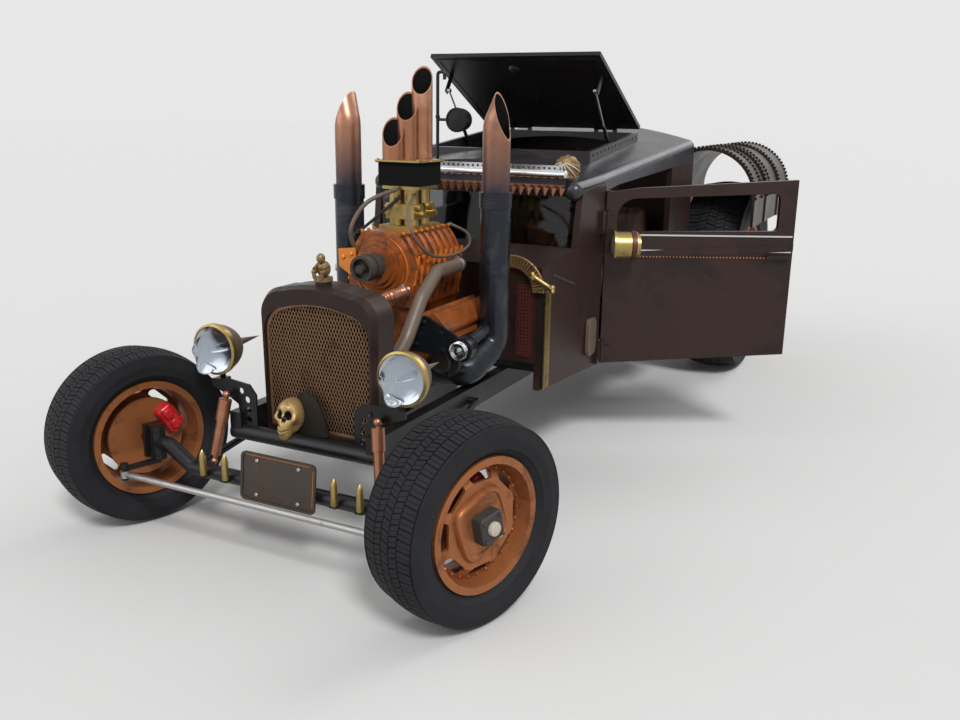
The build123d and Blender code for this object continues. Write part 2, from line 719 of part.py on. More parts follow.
def make_blower(parts):
    """A lobed blower case with ribs along its sides and a ribbed nose."""
    rear = blower_front + blower_length
    half = blower_half_width
    mid = (blower_bottom + blower_top) / 2
    outline = (Line((-half + 12, blower_bottom), (half - 12, blower_bottom))
               + Line((half - 12, blower_bottom), (half - 12, blower_bottom + 34))
               + ThreePointArc((half - 12, blower_bottom + 34), (half, mid), (half - 60, blower_top - 14))
               + Line((half - 60, blower_top - 14), (half - 60, blower_top))
               + Line((half - 60, blower_top), (60 - half, blower_top))
               + Line((60 - half, blower_top), (60 - half, blower_top - 14))
               + ThreePointArc((60 - half, blower_top - 14), (-half, mid), (12 - half, blower_bottom + 34))
               + Line((12 - half, blower_bottom + 34), (12 - half, blower_bottom)))
    place = Plane(origin=(0, rear, 0), x_dir=(1, 0, 0), z_dir=(0, -1, 0))
    case = extrude(place * make_face(outline), blower_length)
    rib_count = 8
    for index in range(rib_count):
        y = blower_front + blower_length * (index + 0.5) / rib_count
        rib = extrude(Plane(origin=(0, y + 5, 0), x_dir=(1, 0, 0), z_dir=(0, -1, 0))
                      * offset(make_face(outline), 9, kind=Kind.INTERSECTION), 10)
        rib = rib & block(-half - 20, half + 20, y - 10, y + 10, blower_bottom + 12, blower_top - 8)
        case = case + rib
    for radius, start, end in ((112, -16, 0), (92, -30, -16), (76, -44, -30)):
        case = case + rod((0, blower_front + start, snout_z), (0, blower_front + end, snout_z), radius)
    parts["blower"] = case


def make_drive(parts):
    """The nose drum, crank pulley, the pump at the left and its pulley."""
    front = blower_front - 44
    drum = rod((0, front - snout_length, snout_z), (0, front, snout_z), snout_radius)
    drum = drum - rod((0, front - snout_length, snout_z), (0, front - snout_length + 20, snout_z),
                      snout_radius - 12)
    drum = drum + rod((0, front - snout_length - 12, snout_z), (0, front - 40, snout_z), 16)
    crank = rod((0, engine_front - 62, crank_z), (0, engine_front, crank_z), 40)
    for y in (62, 40):
        crank = crank + rod((0, engine_front - y, crank_z), (0, engine_front - y + 16, crank_z), 88)
    pump = rod((250, 700, 600), (250, 850, 600), 66)
    pump = pump + rod((250, 672, 600), (250, 700, 600), 22) + rod((250, 664, 600), (250, 684, 600), 40)
    engine = parts["engine"]
    parts["pulleys"] = [drum, crank, (pump - engine).solids().sort_by(SortBy.VOLUME)[-1]]


def make_carburettors(parts):
    """The brass fuel bodies between blower and air box."""
    base = block(-82, 82, carb_y - 110, carb_y + 100, blower_top, blower_top + 16)
    body = base
    for y in (carb_y - 46, carb_y + 46):
        for x in (-34, 34):
            body = body + rod((x, y, blower_top + 16), (x, y, box_bottom), 30)
        body = body + block(-66, 66, y - 34, y + 34, blower_top + 40, blower_top + 100)
        for side in (-1, 1):
            body = body + rod((0, y, blower_top + 62), (side * 96, y, blower_top + 62), 12)
            body = body + rod((side * 62, y, blower_top + 84), (side * 82, y, blower_top + 84), 16)
    tray = block(-88, 88, carb_y - 88, carb_y + 88, box_bottom - 14, box_bottom)
    parts["carburettors"] = body + fillet(tray.edges().filter_by(Axis.Z), 24)


def make_air_box(parts):
    """A square box with a thin overhanging lid."""
    low = box_bottom
    tank = block(-box_half, box_half, carb_y - box_half, carb_y + box_half, low, low + box_height - 8)
    tank = fillet(tank.edges().filter_by(Axis.Z), 16)
    lid = block(-box_half - 9, box_half + 9, carb_y - box_half - 9, carb_y + box_half + 9,
                low + box_height - 8, low + box_height)
    lid = fillet(lid.edges().filter_by(Axis.Z), 20)
    parts["air_box"] = tank + lid


def make_intake_stacks(parts):
    """Three copper tubes of rising height with slanted mouths."""
    low = box_bottom + box_height
    stacks = []
    for x, y, top in intake_stacks:
        tube = rod((x, y, low), (x, y, top + 60), intake_radius)
        tube = tube - rod((x, y, low + 20), (x, y, top + 80), intake_radius - 4)
        mouth = Pos(x, y, top - 12) * Rot(0, 0, 20) * Rot(intake_mouth_slant, 0, 0)
        stacks.append(tube - mouth * block(-200, 200, -200, 200, 0, 200))
    parts["intake_stacks"] = stacks


def make_exhaust(parts):
    """Tall stacks beside the engine, fed by pipes from the heads, with copper tips."""
    low = [(170, stack_y - 220, 560), (stack_x - 40, stack_y - 150, 545), (stack_x, stack_y, 640),
           (stack_x, stack_y, stack_joint_z - 20)]
    stack = pipe(low, stack_radius, 75)
    sleeve_low = stack_joint_z - 22
    sleeve = rod((stack_x, stack_y, sleeve_low), (stack_x, stack_y, sleeve_low + stack_sleeve),
                 stack_radius + 5)
    for y in (engine_front + 90, engine_front + 380):
        stack = stack + pipe([(225, y, 640), (300, y, 640), (stack_x, stack_y, 720),
                              (stack_x, stack_y, 800)], 26, 30)
    stack = stack + sleeve
    neck_z = sleeve_low + stack_sleeve
    stack = stack - parts["engine"] - parts["pulleys"][2]
    stack = stack.solids().sort_by(SortBy.VOLUME)[-1]
    parts["exhaust_stacks"] = both_sides(stack)
    line = [(stack_x, stack_y, neck_z), (stack_x, stack_y, tip_top - 110),
            (stack_x + 60, stack_y + 40, tip_top + 60)]
    tip = pipe(line, tip_radius, 90)
    bore = pipe([(stack_x, stack_y, neck_z + 60)] + line[1:], tip_radius - 4, 90)
    mouth = Pos(stack_x, stack_y, tip_top - 20) * Rot(0, tip_mouth_slant, 0)
    tip = tip - bore - mouth * block(-300, 300, -300, 300, 0, 300)
    parts["exhaust_tips"] = both_sides(tip)


def make_hoses(parts):
    """The copper radiator hose and the big hose that runs up past the blower's left side."""
    rear = shell_front + shell_depth - radiator_inset
    top = pipe([(70, rear, 850), (70, 420, 850), (115, 520, 880), (115, blower_front, 880)], 24, 40)
    low = 600
    high = 955
    end_x = blower_half_width - 10
    side = pipe([(170, rear, low), (170, rear + 85, low), (hose_x, 492, 734), (hose_x, 600, 870),
                 (hose_x, 720, high),
                 (hose_x, 930, high), (end_x, 930, high)], hose_radius, 28)
    parts["engine_hoses"] = [top, (side - parts["blower"]).solids().sort_by(SortBy.VOLUME)[-1]]


# Cab


def side_panel(outline, plane, thickness):
    """A flat body side from its outline on the outer skin."""
    return extrude(plane * Polygon(*outline, align=None), -thickness)


def hinge_leaves():
    """What the left door hangs on: leaves on the cowl, each with two knuckles and a pin."""
    leaves = []
    for z in door_hinge_heights:
        low, high = z - hinge_half - 1 - hinge_knuckle, z + hinge_half + 1 + hinge_knuckle
        leaf = block(-45, -door_gap - 1, low, high, -12, hinge_out)
        for start, end in ((low, low + hinge_knuckle), (high - hinge_knuckle, high)):
            leaf = leaf + block(-door_gap - 2, hinge_back, start, end, hinge_out - 10, hinge_out)
            middle = Pos(hinge_back, (start + end) / 2, hinge_out) * Rot(90, 0, 0)
            leaf = leaf + middle * Cylinder(door_hinge_radius, hinge_knuckle)
        pin = Pos(hinge_back, z, hinge_out) * Rot(90, 0, 0) * Cylinder(hinge_pin_radius, high - low)
        leaves.append(side_plane(0, cab_side_angle) * (leaf + pin))
    return leaves


def make_cowl(parts):
    """Cowl sides that run up into the windscreen posts, the firewall, the top and the screen frame."""
    length = hinge_y - door_gap - cowl_front
    turn = atan2(hinge_x - cowl_half_front, hinge_y - cowl_front)
    plane = Plane(origin=(cowl_half_front, cowl_front, 0), x_dir=(sin(turn), cos(turn), 0),
                  z_dir=(cos(turn), -sin(turn), 0))
    run = length / cos(turn)
    post = (screen_y - cowl_front) / cos(turn)
    outline = [(0, sill_front_z), (run, sill_z), (run, roof_edge_z(hinge_y) - 2),
               (post + 26, roof_edge_z(screen_y + 26)),
               (post - 12, cowl_top_z), (0, cowl_top_front)]
    side = side_panel(outline, plane, body_wall)
    cowl = side + mirror(side, Plane.YZ)
    inner = cowl_half_front - body_wall + 6
    wall = block(-inner, inner, cowl_front, cowl_front + 24, 520, cowl_top_front - 6)
    hole = block(-tunnel_half, tunnel_half, cowl_front - 10, cowl_front + 50, 400, tunnel_top)
    cowl = cowl + (wall - hole)
    top = [(cowl_front, cowl_top_front - 26), (screen_y + 20, cowl_top_z - 26),
           (screen_y + 20, cowl_top_z), (cowl_front, cowl_top_front)]
    half_rear = cowl_half_front + (screen_y - cowl_front) * tan(turn) - 6
    cover = slab_x(top, -half_rear, half_rear)
    keep = extrude(Polygon((-inner, cowl_front - 5), (inner, cowl_front - 5), (half_rear, screen_y + 30),
                           (-half_rear, screen_y + 30), align=None), 2000)
    cowl = cowl + (cover & keep)
    header_z = roof_edge_z(screen_y + 26)
    header = block(-half_rear, half_rear, screen_y + 22, screen_y + 50, header_z - 42, header_z)
    cowl = cowl + header
    for leaf in hinge_leaves():
        cowl = cowl + leaf + mirror(leaf, Plane.YZ)
    parts["cowl"] = cowl


def make_combs(parts):
    """A brass louvred strip up the front edge of each cowl side."""
    turn = atan2(hinge_x - cowl_half_front, hinge_y - cowl_front)
    plane = Plane(origin=(cowl_half_front, cowl_front, 0), x_dir=(sin(turn), cos(turn), 0),
                  z_dir=(cos(turn), -sin(turn), 0))
    low, high = sill_front_z + 6, cowl_top_front - 90
    strip = extrude(Polygon((4, low), (58, low), (58, high), (4, high), align=None), 5)
    count = 30
    pitch = (high - low) / count
    for index in range(count):
        z = low + (index + 0.5) * pitch
        fin = [(10, z - pitch * 0.4), (50, z - pitch * 0.4), (50, z - pitch * 0.1), (10, z + pitch * 0.1)]
        strip = strip + Pos(0, 0, 4) * extrude(Polygon(*fin, align=None), 9)
    strip = plane * strip
    parts["cowl_trim"] = both_sides(strip)


def make_windscreen(parts):
    """A flat pane between the cowl top and the header."""
    turn = atan2(hinge_x - cowl_half_front, hinge_y - cowl_front)
    half = cowl_half_front + (screen_y - cowl_front) * tan(turn) - body_wall / cos(turn)
    header_z = roof_edge_z(screen_y + 26)
    outline = [(screen_y + 6, cowl_top_z), (screen_y + 12, cowl_top_z), (screen_y + 36, header_z - 42),
               (screen_y + 30, header_z - 42)]
    parts["windscreen"] = slab_x(outline, -half + 1, half - 1)


def make_visor(parts):
    """A polished tube above the screen with a saw-toothed strip under it."""
    z = roof_edge_front + 55
    y = roof_front_y - 42
    tube = rod((-462, y, z), (462, y, z), 17)
    teeth = 24
    pitch = 924 / teeth
    points = [(-462, z)]
    for index in range(teeth):
        x = -462 + index * pitch
        points += [(x, z - 62), (x + pitch / 2, z - 96)]
    points += [(462, z - 62), (462, z)]
    strip = slab_y(points, y + 4, y + 10)
    shelf = block(-440, 440, y, roof_front_y + 2, z - 6, z + 6)
    parts["visor"] = tube + strip + shelf


def roof_section(half, edge_z, crown, thickness, y):
    """A crescent across the car: crowned skin above, flatter inside below."""
    place = Plane(origin=(0, y, 0), x_dir=(1, 0, 0), z_dir=(0, -1, 0))
    line = (ThreePointArc((-half, edge_z), (0, edge_z + crown), (half, edge_z))
            + Line((half, edge_z), (half, edge_z - thickness))
            + ThreePointArc((half, edge_z - thickness), (0, edge_z + crown - thickness),
                            (-half, edge_z - thickness))
            + Line((-half, edge_z - thickness), (-half, edge_z)))
    return place * make_face(line)


def roof_lines():
    """Where the roof's shoulders run: y, half width to the shoulder's middle."""
    cowl_slope = (hinge_x - cowl_half_front) / (hinge_y - cowl_front)
    front = cowl_half_front + (roof_front_y - cowl_front) * cowl_slope
    rear = hinge_x + (cab_rear_y - hinge_y) * tan(radians(cab_side_angle))
    places = ((roof_front_y, front), (hinge_y, hinge_x), (cab_rear_y, rear))
    return [(y, half - roof_shoulder) for y, half in places]


@cache
def roof_skin():
    sections = []
    for y, half in roof_lines():
        sections.append(roof_section(half, roof_edge_z(y) + roof_thickness, roof_crown, roof_thickness, y))
    return loft(sections, ruled=True)


def shoulders():
    """A round bar along each roof edge, with a ball at its front corner."""
    points = [(half, y, roof_edge_z(y) + roof_thickness - roof_shoulder) for y, half in roof_lines()]
    bar = rod(points[0], points[1], roof_shoulder) + rod(points[1], points[2], roof_shoulder)
    bar = bar + Pos(*points[0]) * Sphere(roof_shoulder) + Pos(*points[1]) * Sphere(roof_shoulder)
    return bar & block(-1000, 1000, 0, cab_rear_y, 1000, 2000)


def roof_top_z(y):
    """Height of the roof's middle line, on top."""
    return roof_edge_z(y) + roof_thickness + roof_crown


def hatch_frame():
    """The raised, punched frame round the opening, with hinge knuckles at its rear."""
    front, rear = hatch_hinge_y - hatch_length + 20, hatch_hinge_y - 22
    outer = hatch_half_width - 6
    low = [(front, 1200), (rear, 1200), (rear, roof_top_z(rear) + hatch_gap - 5),
           (front, roof_top_z(front) + hatch_gap - 5)]
    frame = slab_x(low, -outer, outer) - block(-opening_half, opening_half, front + 20, rear - 20, 1000, 1800)
    frame = frame - roof_skin_below()
    count = 13
    for index in range(count):
        y = front + 40 + (rear - front - 80) * index / (count - 1)
        frame = frame - rod((-outer - 10, y, roof_top_z(y) - 20), (outer + 10, y, roof_top_z(y) - 20), 7)
    z = hatch_hinge_z()
    for x in hatch_hinge_places:
        for start in (x - hatch_barrel_half - 1 - hatch_knuckle, x + hatch_barrel_half + 1):
            knuckle = rod((start, hatch_hinge_y, z), (start + hatch_knuckle, hatch_hinge_y, z), hatch_barrel)
            foot = block(start, start + hatch_knuckle, hatch_hinge_y, hatch_hinge_y + hatch_barrel, 1300, z)
            frame = frame + knuckle + (foot - roof_skin_below())
        frame = frame + rod((x - hatch_barrel_half - 10, hatch_hinge_y, z),
                            (x + hatch_barrel_half + 10, hatch_hinge_y, z),
                            strut_pin_radius)
    return frame


def make_roof(parts):
    """The crowned roof with its shoulders, its hatch opening and the bands above the doors."""
    front, rear = hatch_hinge_y - hatch_length + 40, hatch_hinge_y - 42
    opening = block(-opening_half, opening_half, front, rear, 1000, 1800)
    roof = roof_skin() - opening
    front_z = door_top_front + door_gap
    rear_z = door_top_rear + door_gap
    run = cab_rear_y - hinge_y
    rear_s = run / cos(radians(cab_side_angle))
    sink = roof_thickness - roof_shoulder
    band = [(0, front_z), (door_knee_s, door_top_knee + door_gap), (door_length + door_gap, rear_z),
            (door_length + door_gap, rear_z + 6), (rear_s, rear_z + 6), (rear_s,
                                                                         roof_edge_z(cab_rear_y) + sink),
            (0, roof_edge_z(hinge_y) + sink)]
    side = side_panel(band, side_plane(0, cab_side_angle), body_wall)
    doorway = [(-door_gap, 300), (door_length + door_gap, 300), (door_length + door_gap, rear_z),
               (door_knee_s, door_top_knee + door_gap), (-door_gap, front_z - 1)]
    doorway = side_panel(doorway, side_plane(0, cab_side_angle), 3 * body_wall)
    side = side + (shoulders() - doorway)
    roof = roof + side + mirror(side, Plane.YZ) + hatch_frame()
    parts["roof"] = roof - parts["cowl"] - parts["visor"] - parts["windscreen"]


def make_cab_rear(parts):
    """The panels behind the doors and the rear wall with its small window."""
    start = door_length + door_gap
    rear_s = (cab_rear_y - hinge_y) / cos(radians(cab_side_angle))
    low = sill_z + sill_rise * start / door_length
    top = door_top_rear + door_gap + 6
    outline = [(start, low), (rear_s, low + 8), (rear_s, top), (start, top)]
    side = side_panel(outline, side_plane(0, cab_side_angle), body_wall)
    cab = side + mirror(side, Plane.YZ)
    half = along_side(rear_s)[0] - body_wall + 4
    wall = block(-half, half, cab_rear_y - 26, cab_rear_y - 2, low + 6, roof_edge_z(cab_rear_y) + 90)
    window = block(-230, 230, cab_rear_y - 60, cab_rear_y + 60, 1120, 1260)
    cab = cab + ((wall - window) & roof_skin_below())
    for side_x in (-1, 1):
        cab = cab - block(side_x * rail_x - 30, side_x * rail_x + 30, kick_start - 200, cab_rear_y + 50,
                          300, 640)
    cab = cab - block(-rear_tunnel_half, rear_tunnel_half, cab_rear_y - 60, cab_rear_y + 60, 400,
                      rear_tunnel_top)
    parts["cab_rear"] = cab - parts["roof"]


def make_floor(parts):
    """The floor over the frame, with a tunnel for the gearbox and shaft and a riser for the seat."""
    z = rail_z + rail_height / 2
    rear = cab_rear_y - 26
    front = cowl_front + 24
    step = gearbox_rear + 30
    half_front = cowl_half_front - body_wall - 4
    half_rear = along_side(door_length)[0] - body_wall - 6
    plan = Polygon((-half_front, front), (half_front, front), (half_rear, rear), (-half_rear, rear),
                   align=None)
    floor = extrude(Plane(origin=(0, 0, z)) * plan, 12)
    floor = floor + block(-tunnel_half, tunnel_half, front, step + 10, z, tunnel_top)
    floor = floor + block(-rear_tunnel_half, rear_tunnel_half, step, rear, z, rear_tunnel_top)
    riser_rear = seat_rear + back_thickness
    riser = block(-seat_half, seat_half, seat_front, riser_rear, z + 6, seat_z)
    riser = riser - block(-seat_half + 12, seat_half - 12, seat_front + 12, riser_rear - 12, z + 12,
                          seat_z - 6)
    floor = floor + riser
    floor = floor - block(-tunnel_half + 10, tunnel_half - 10, front - 20, step, z - 20, tunnel_top - 10)
    floor = floor - block(-rear_tunnel_half + 10, rear_tunnel_half - 10, step - 20, rear + 20, z - 20,
                          rear_tunnel_top - 10)
    for side in (-1, 1):
        floor = floor - block(side * rail_x - 30, side * rail_x + 30, kick_start - 40, rear + 20, z - 20,
                              z + 150)
    parts["cab_floor"] = floor - parts["cowl"] - parts["cab_rear"]


def make_seats(parts):
    """A bench cushion and a backrest."""
    cushion = block(-seat_half, seat_half, seat_front, seat_rear, seat_z, seat_z + 130)
    cushion = fillet(cushion.edges(), pad_round)
    lean = radians(back_lean)
    lift = pad_round * (1 - cos(lean)) + (back_thickness - pad_round) * sin(lean) + 0.3
    back = block(-seat_half, seat_half, 0, back_thickness, 0, 470)
    back = Pos(0, seat_rear + 4, seat_z + lift) * Rot(-back_lean, 0, 0) * fillet(back.edges(), pad_round)
    parts["seats"] = [cushion, back]


def make_dashboard(parts):
    """A rounded dash across the cab with the column and steering wheel."""
    half = cowl_half_front + 40
    dash = slab_x([(screen_y + 24, 860), (screen_y + 120, 860), (screen_y + 130, 900),
                   (screen_y + 96, cowl_top_z - 30), (screen_y + 24, cowl_top_z - 30)], -half, half)
    column = rod((wheel_x, screen_y + 60, 880), (wheel_x, 1810, 975), 16)
    axis = Vector(0, 1810 - screen_y - 60, 95).normalized()
    place = Plane(origin=(wheel_x, 1810, 975), z_dir=axis)
    wheel = place * Torus(165, 12) + place * Pos(0, 0, -10) * Cylinder(34, 30)
    for turn in (90, 210, 330):
        wheel = wheel + place * Rot(0, 0, turn) * Pos(82, 0, 0) * Box(164, 22, 6)
    parts["dashboard"] = (dash + column + wheel) - parts["cowl"]


def door_solid():
    """The left door built closed, about its hinge edge: x runs back along the skin, y is up."""
    outline = [(0, sill_z), (door_length, sill_z + sill_rise), (door_length, door_top_rear),
               (door_knee_s, door_top_knee), (0, door_top_front)]
    panel = extrude(Polygon(*outline, align=None), -door_thickness)
    outline = [(50, door_window_bottom), (door_length - 76, door_window_bottom + 10),
               (door_length - 76, door_top_rear - 62), (50, door_top_front - 28)]
    window = Polygon(*outline, align=None)
    front_top = window.vertices().sort_by(Axis.X)[:2].sort_by(Axis.Y)[-1]
    window = fillet(front_top, window_front_round)
    window = fillet(window.vertices().sort_by(Axis.X)[-2:], window_rear_round)
    panel = panel - extrude(Plane(origin=(0, 0, 5)) * window, -door_thickness - 10)
    strip = [(0, strip_z), (door_length, strip_z + 49), (door_length, strip_z + 49 + strip_height),
             (0, strip_z + strip_height)]
    panel = panel + extrude(Polygon(*strip, align=None), strip_proud)
    for z in door_hinge_heights:
        leaf = block(0, 44, z - hinge_half + 2, z + hinge_half - 2, 0, hinge_out)
        barrel = Pos(hinge_back, z, hinge_out) * Rot(90, 0, 0) * Cylinder(door_hinge_radius, 2 * hinge_half)
        bore = Cylinder(hinge_pin_radius + pin_clearance, 4 * hinge_half)
        bore = Pos(hinge_back, z, hinge_out) * Rot(90, 0, 0) * bore
        panel = panel + leaf + barrel - bore
    panel = panel + Pos(door_length - 70, 930, 22) * Box(110, 14, 10)
    return panel + Pos(door_length - 30, 930, 10) * Cylinder(9, 24)


def door_lamp():
    """A can-shaped lamp on a short bracket, pointing forward along the door; x runs back and y is up."""
    middle = Pos(0, door_lamp_z, door_lamp_out) * Rot(0, 90, 0)
    can_middle = door_lamp_s + door_lamp_length / 2
    can = middle * Pos(0, 0, can_middle) * Cylinder(door_lamp_radius, door_lamp_length)
    rim_ring = middle * Pos(0, 0, door_lamp_s + 6) * Cylinder(door_lamp_radius + 5, 12)
    lid = middle * Pos(0, 0, door_lamp_s + door_lamp_length + 5) * Cylinder(door_lamp_radius - 9, 12)
    mouth = middle * Pos(0, 0, door_lamp_s + 20) * Cylinder(door_lamp_radius - 5, 44)
    foot = block(door_lamp_s + 55, door_lamp_s + 85, door_lamp_z - 12, door_lamp_z + 12, 0,
                 door_lamp_out - door_lamp_radius + 8)
    return (can + rim_ring + lid + foot) - mouth


def make_doors(parts):
    """The left door stands open as it is parked, the right one closed."""
    closed = side_plane(0, cab_side_angle)
    panel = closed * door_solid()
    lamp = closed * door_lamp()
    x, y = along_side(0)
    normal = closed.z_dir
    axis_x = x + normal.X * hinge_out + hinge_back * closed.x_dir.X
    axis_y = y + normal.Y * hinge_out + hinge_back * closed.x_dir.Y
    swing = Pos(axis_x, axis_y, 0) * Rot(0, 0, -door_open) * Pos(-axis_x, -axis_y, 0)
    parts["door_left"] = swing * panel
    parts["door_lamp_left"] = swing * lamp
    parts["door_right"] = mirror(panel, Plane.YZ)
    parts["door_lamp_right"] = mirror(lamp, Plane.YZ)
    report["door_hinge"] = Vector(axis_x, axis_y, 0)


def hatch_hinge_z():
    return roof_top_z(hatch_hinge_y) + hatch_gap + hatch_thickness / 2


def hatch_swing():
    """Turns a piece of the closed hatch up to where it stands open."""
    z = hatch_hinge_z()
    return Pos(0, hatch_hinge_y, z) * Rot(-hatch_open, 0, 0) * Pos(0, -hatch_hinge_y, -z)


def make_hatch(parts):
    """The roof hatch, standing open on its rear hinge, with a plate for each strut's eye."""
    front = hatch_hinge_y - hatch_length
    rear = hatch_hinge_y - hatch_barrel - hatch_gap
    low, high = roof_top_z(front) + hatch_gap, roof_top_z(rear) + hatch_gap
    outline = [(front, low), (rear, high), (rear, high + hatch_thickness), (front, low + hatch_thickness)]
    panel = slab_x(outline, -hatch_half_width, hatch_half_width)
    inner = strut_x + strut_eye_half + 0.8
    under = roof_top_z(strut_eye_y) + hatch_gap
    ear = block(inner, inner + strut_plate, strut_eye_y - 14, strut_eye_y + 14, strut_eye_z - 12, under + 5)
    panel = panel + ear + mirror(ear, Plane.YZ)
    for x in hatch_hinge_places:
        z = hatch_hinge_z()
        start, end = x - hatch_barrel_half, x + hatch_barrel_half
        panel = panel + rod((start, hatch_hinge_y, z), (end, hatch_hinge_y, z), hatch_barrel)
        panel = panel + block(start, end, rear - 10, hatch_hinge_y, z - 6, z + 6)
        panel = panel - rod((x - 60, hatch_hinge_y, z), (x + 60, hatch_hinge_y, z),
                            strut_pin_radius + pin_clearance)
    parts["roof_hatch"] = hatch_swing() * panel
    report["hatch_hinge"] = Vector(0, hatch_hinge_y, hatch_hinge_z())


@cache
def roof_skin_below():
    """All that lies under the middle of the roof's thickness."""
    faces = []
    for y, half in roof_lines():
        edge = roof_edge_z(y) + roof_thickness / 2
        line = ThreePointArc((-half, edge), (0, edge + roof_crown), (half, edge))
        line = line + Polyline((half, edge), (half, 300), (-half, 300), (-half, edge))
        faces.append(Plane(origin=(0, y, 0), x_dir=(1, 0, 0), z_dir=(0, -1, 0)) * make_face(line))
    return loft(faces, ruled=True)


def make_struts(parts):
    """A gas strut on each side: the tube turns on the roof, the rod slides in the tube."""
    base = Vector(strut_x, strut_base_y, strut_base_z)
    hinge = Vector(0, hatch_hinge_y, hatch_hinge_z())
    closed = Vector(strut_x, strut_eye_y, strut_eye_z)
    eye = (hatch_swing() * Pos(closed.X, closed.Y, closed.Z)).position
    line = (eye - base).normalized()
    tube_end = base + line * strut_tube_length
    tube = rod(tuple(base + line * (strut_eye_radius - 3)), tuple(tube_end), strut_radius)
    eye_ring = rod((strut_x - strut_eye_half, base.Y, base.Z), (strut_x + strut_eye_half, base.Y, base.Z),
                   strut_eye_radius)
    pin_hole = rod((strut_x - 20, base.Y, base.Z), (strut_x + 20, base.Y, base.Z),
                   strut_pin_radius + pin_clearance)
    bore = rod(tuple(tube_end - line * 290), tuple(tube_end + line * 5), strut_rod_radius + pin_clearance)
    parts["strut_tubes"] = both_sides(tube + eye_ring - pin_hole - bore)
    slide = rod(tuple(tube_end - line * 100), tuple(eye), strut_rod_radius)
    slide_eye = rod((strut_x - strut_eye_half, eye.Y, eye.Z), (strut_x + strut_eye_half, eye.Y, eye.Z),
                    strut_eye_radius)
    parts["strut_rods"] = both_sides(slide + slide_eye)
    inner = strut_x + strut_eye_half + 0.8
    plate = block(inner, inner + strut_plate, base.Y - 14, base.Y + 14, base.Z - 14, base.Z + 150)
    plate = plate & roof_skin_below()
    outer = opening_half + 24
    plate = plate + block(inner, outer, base.Y - 14, base.Y + 14, base.Z + 84, base.Z + 90)
    riser = block(outer - 6, outer, base.Y - 14, base.Y + 14, base.Z + 84, base.Z + 160) & roof_skin_below()
    plate = plate - block(inner - 1, inner + strut_plate + 1, base.Y - 20, base.Y + 20, base.Z + 90,
                          base.Z + 200) + riser
    pin = rod((strut_x - strut_eye_half, base.Y, base.Z), (inner + 1, base.Y, base.Z), strut_pin_radius)
    plate = plate + pin
    parts["roof"] = parts["roof"] + plate + mirror(plate, Plane.YZ)
    closed_line = closed - base
    drop = degrees(atan2(line.Z, -line.Y) - atan2(closed_line.Z, -closed_line.Y))
    report["strut_base"] = base
    report["strut_eye"] = eye
    report["strut_line"] = line
    report["strut_turn_per_hatch_degree"] = drop / hatch_open
    report["strut_slide_mm"] = (eye - base).length - closed_line.length


# Rear of the car


def make_driveline(parts):
    """Gearbox, driveshaft and the rear axle housing with its stub ends."""
    z = crank_z
    start = engine_front + engine_length + 60
    gearbox = loft([Plane(origin=(0, start, z), z_dir=(0, 1, 0)) * Circle(140),
                    Plane(origin=(0, start + 320, z - 20), z_dir=(0, 1, 0)) * Circle(95)])
    tail = rod((0, start + 320, z - 20), (0, gearbox_rear, z - 30), 58)
    shaft = rod((0, gearbox_rear, z - 30), (0, wheelbase - 110, rear_tyre_radius), 36)
    gearbox = gearbox + tail - parts["frame"]
    end_x = rear_half_track + rear_hub_start
    axle = rod((-end_x + 2, wheelbase, rear_tyre_radius), (end_x - 2, wheelbase, rear_tyre_radius), 40)
    axle = axle + rod((-end_x - spindle_depth, wheelbase, rear_tyre_radius),
                      (end_x + spindle_depth, wheelbase, rear_tyre_radius), spindle_radius)
    nose = rod((0, wheelbase - 190, rear_tyre_radius), (0, wheelbase, rear_tyre_radius), 62)
    parts["rear_axle"] = axle + Pos(0, wheelbase, rear_tyre_radius) * Sphere(138) + nose
    parts["driveline"] = gearbox + (shaft - parts["rear_axle"])


def make_rear_links(parts):
    """Two trailing bars and two coil-over shocks."""
    axle = parts["rear_axle"]
    for side in (-1, 1):
        x = side * (rail_x + rail_width / 2 + 28)
        bar = pipe([(side * (rail_x + rail_width / 2), 2600, rail_z), (x, 2600, rail_z), (x, 2660, rail_z),
                    (x, wheelbase, rear_tyre_radius - 60)], 18, 26)
        mount = block(x - 12, x + 12, wheelbase - 50, wheelbase + 50, rear_tyre_radius - 80,
                      rear_tyre_radius + 60)
        damper = rod((x, wheelbase + 44, rear_tyre_radius), (x, wheelbase + 90, kick_z + 30), 14)
        coil = rod((x, wheelbase + 50, rear_tyre_radius + 30), (x, wheelbase + 84, kick_z - 20), 26)
        pin = rod((side * (rail_x + rail_width / 2), wheelbase + 90, kick_z + 20),
                  (x, wheelbase + 90, kick_z + 20), 12)
        axle = axle + bar + mount + damper + coil + pin
    parts["rear_axle"] = axle


def arch(radius, wall, y0, y1, outer_drop, inner_drop):
    """A barrel-topped arch along the car, with straight skirts down from its sides."""
    half = extrude(Plane(origin=(fender_x, y1, fender_z), x_dir=(1, 0, 0), z_dir=(0, -1, 0))
                   * (Circle(radius) - Circle(radius - wall)), y1 - y0)
    half = half & block(fender_x - radius - 5, fender_x + radius + 5, y0 - 5, y1 + 5, fender_z,
                        fender_z + radius + 5)
    outer = block(fender_x + radius - wall, fender_x + radius, y0, y1, fender_z - outer_drop, fender_z)
    inner = block(fender_x - radius, fender_x - radius + wall, y0, y1, fender_z - inner_drop, fender_z)
    return half + outer + inner


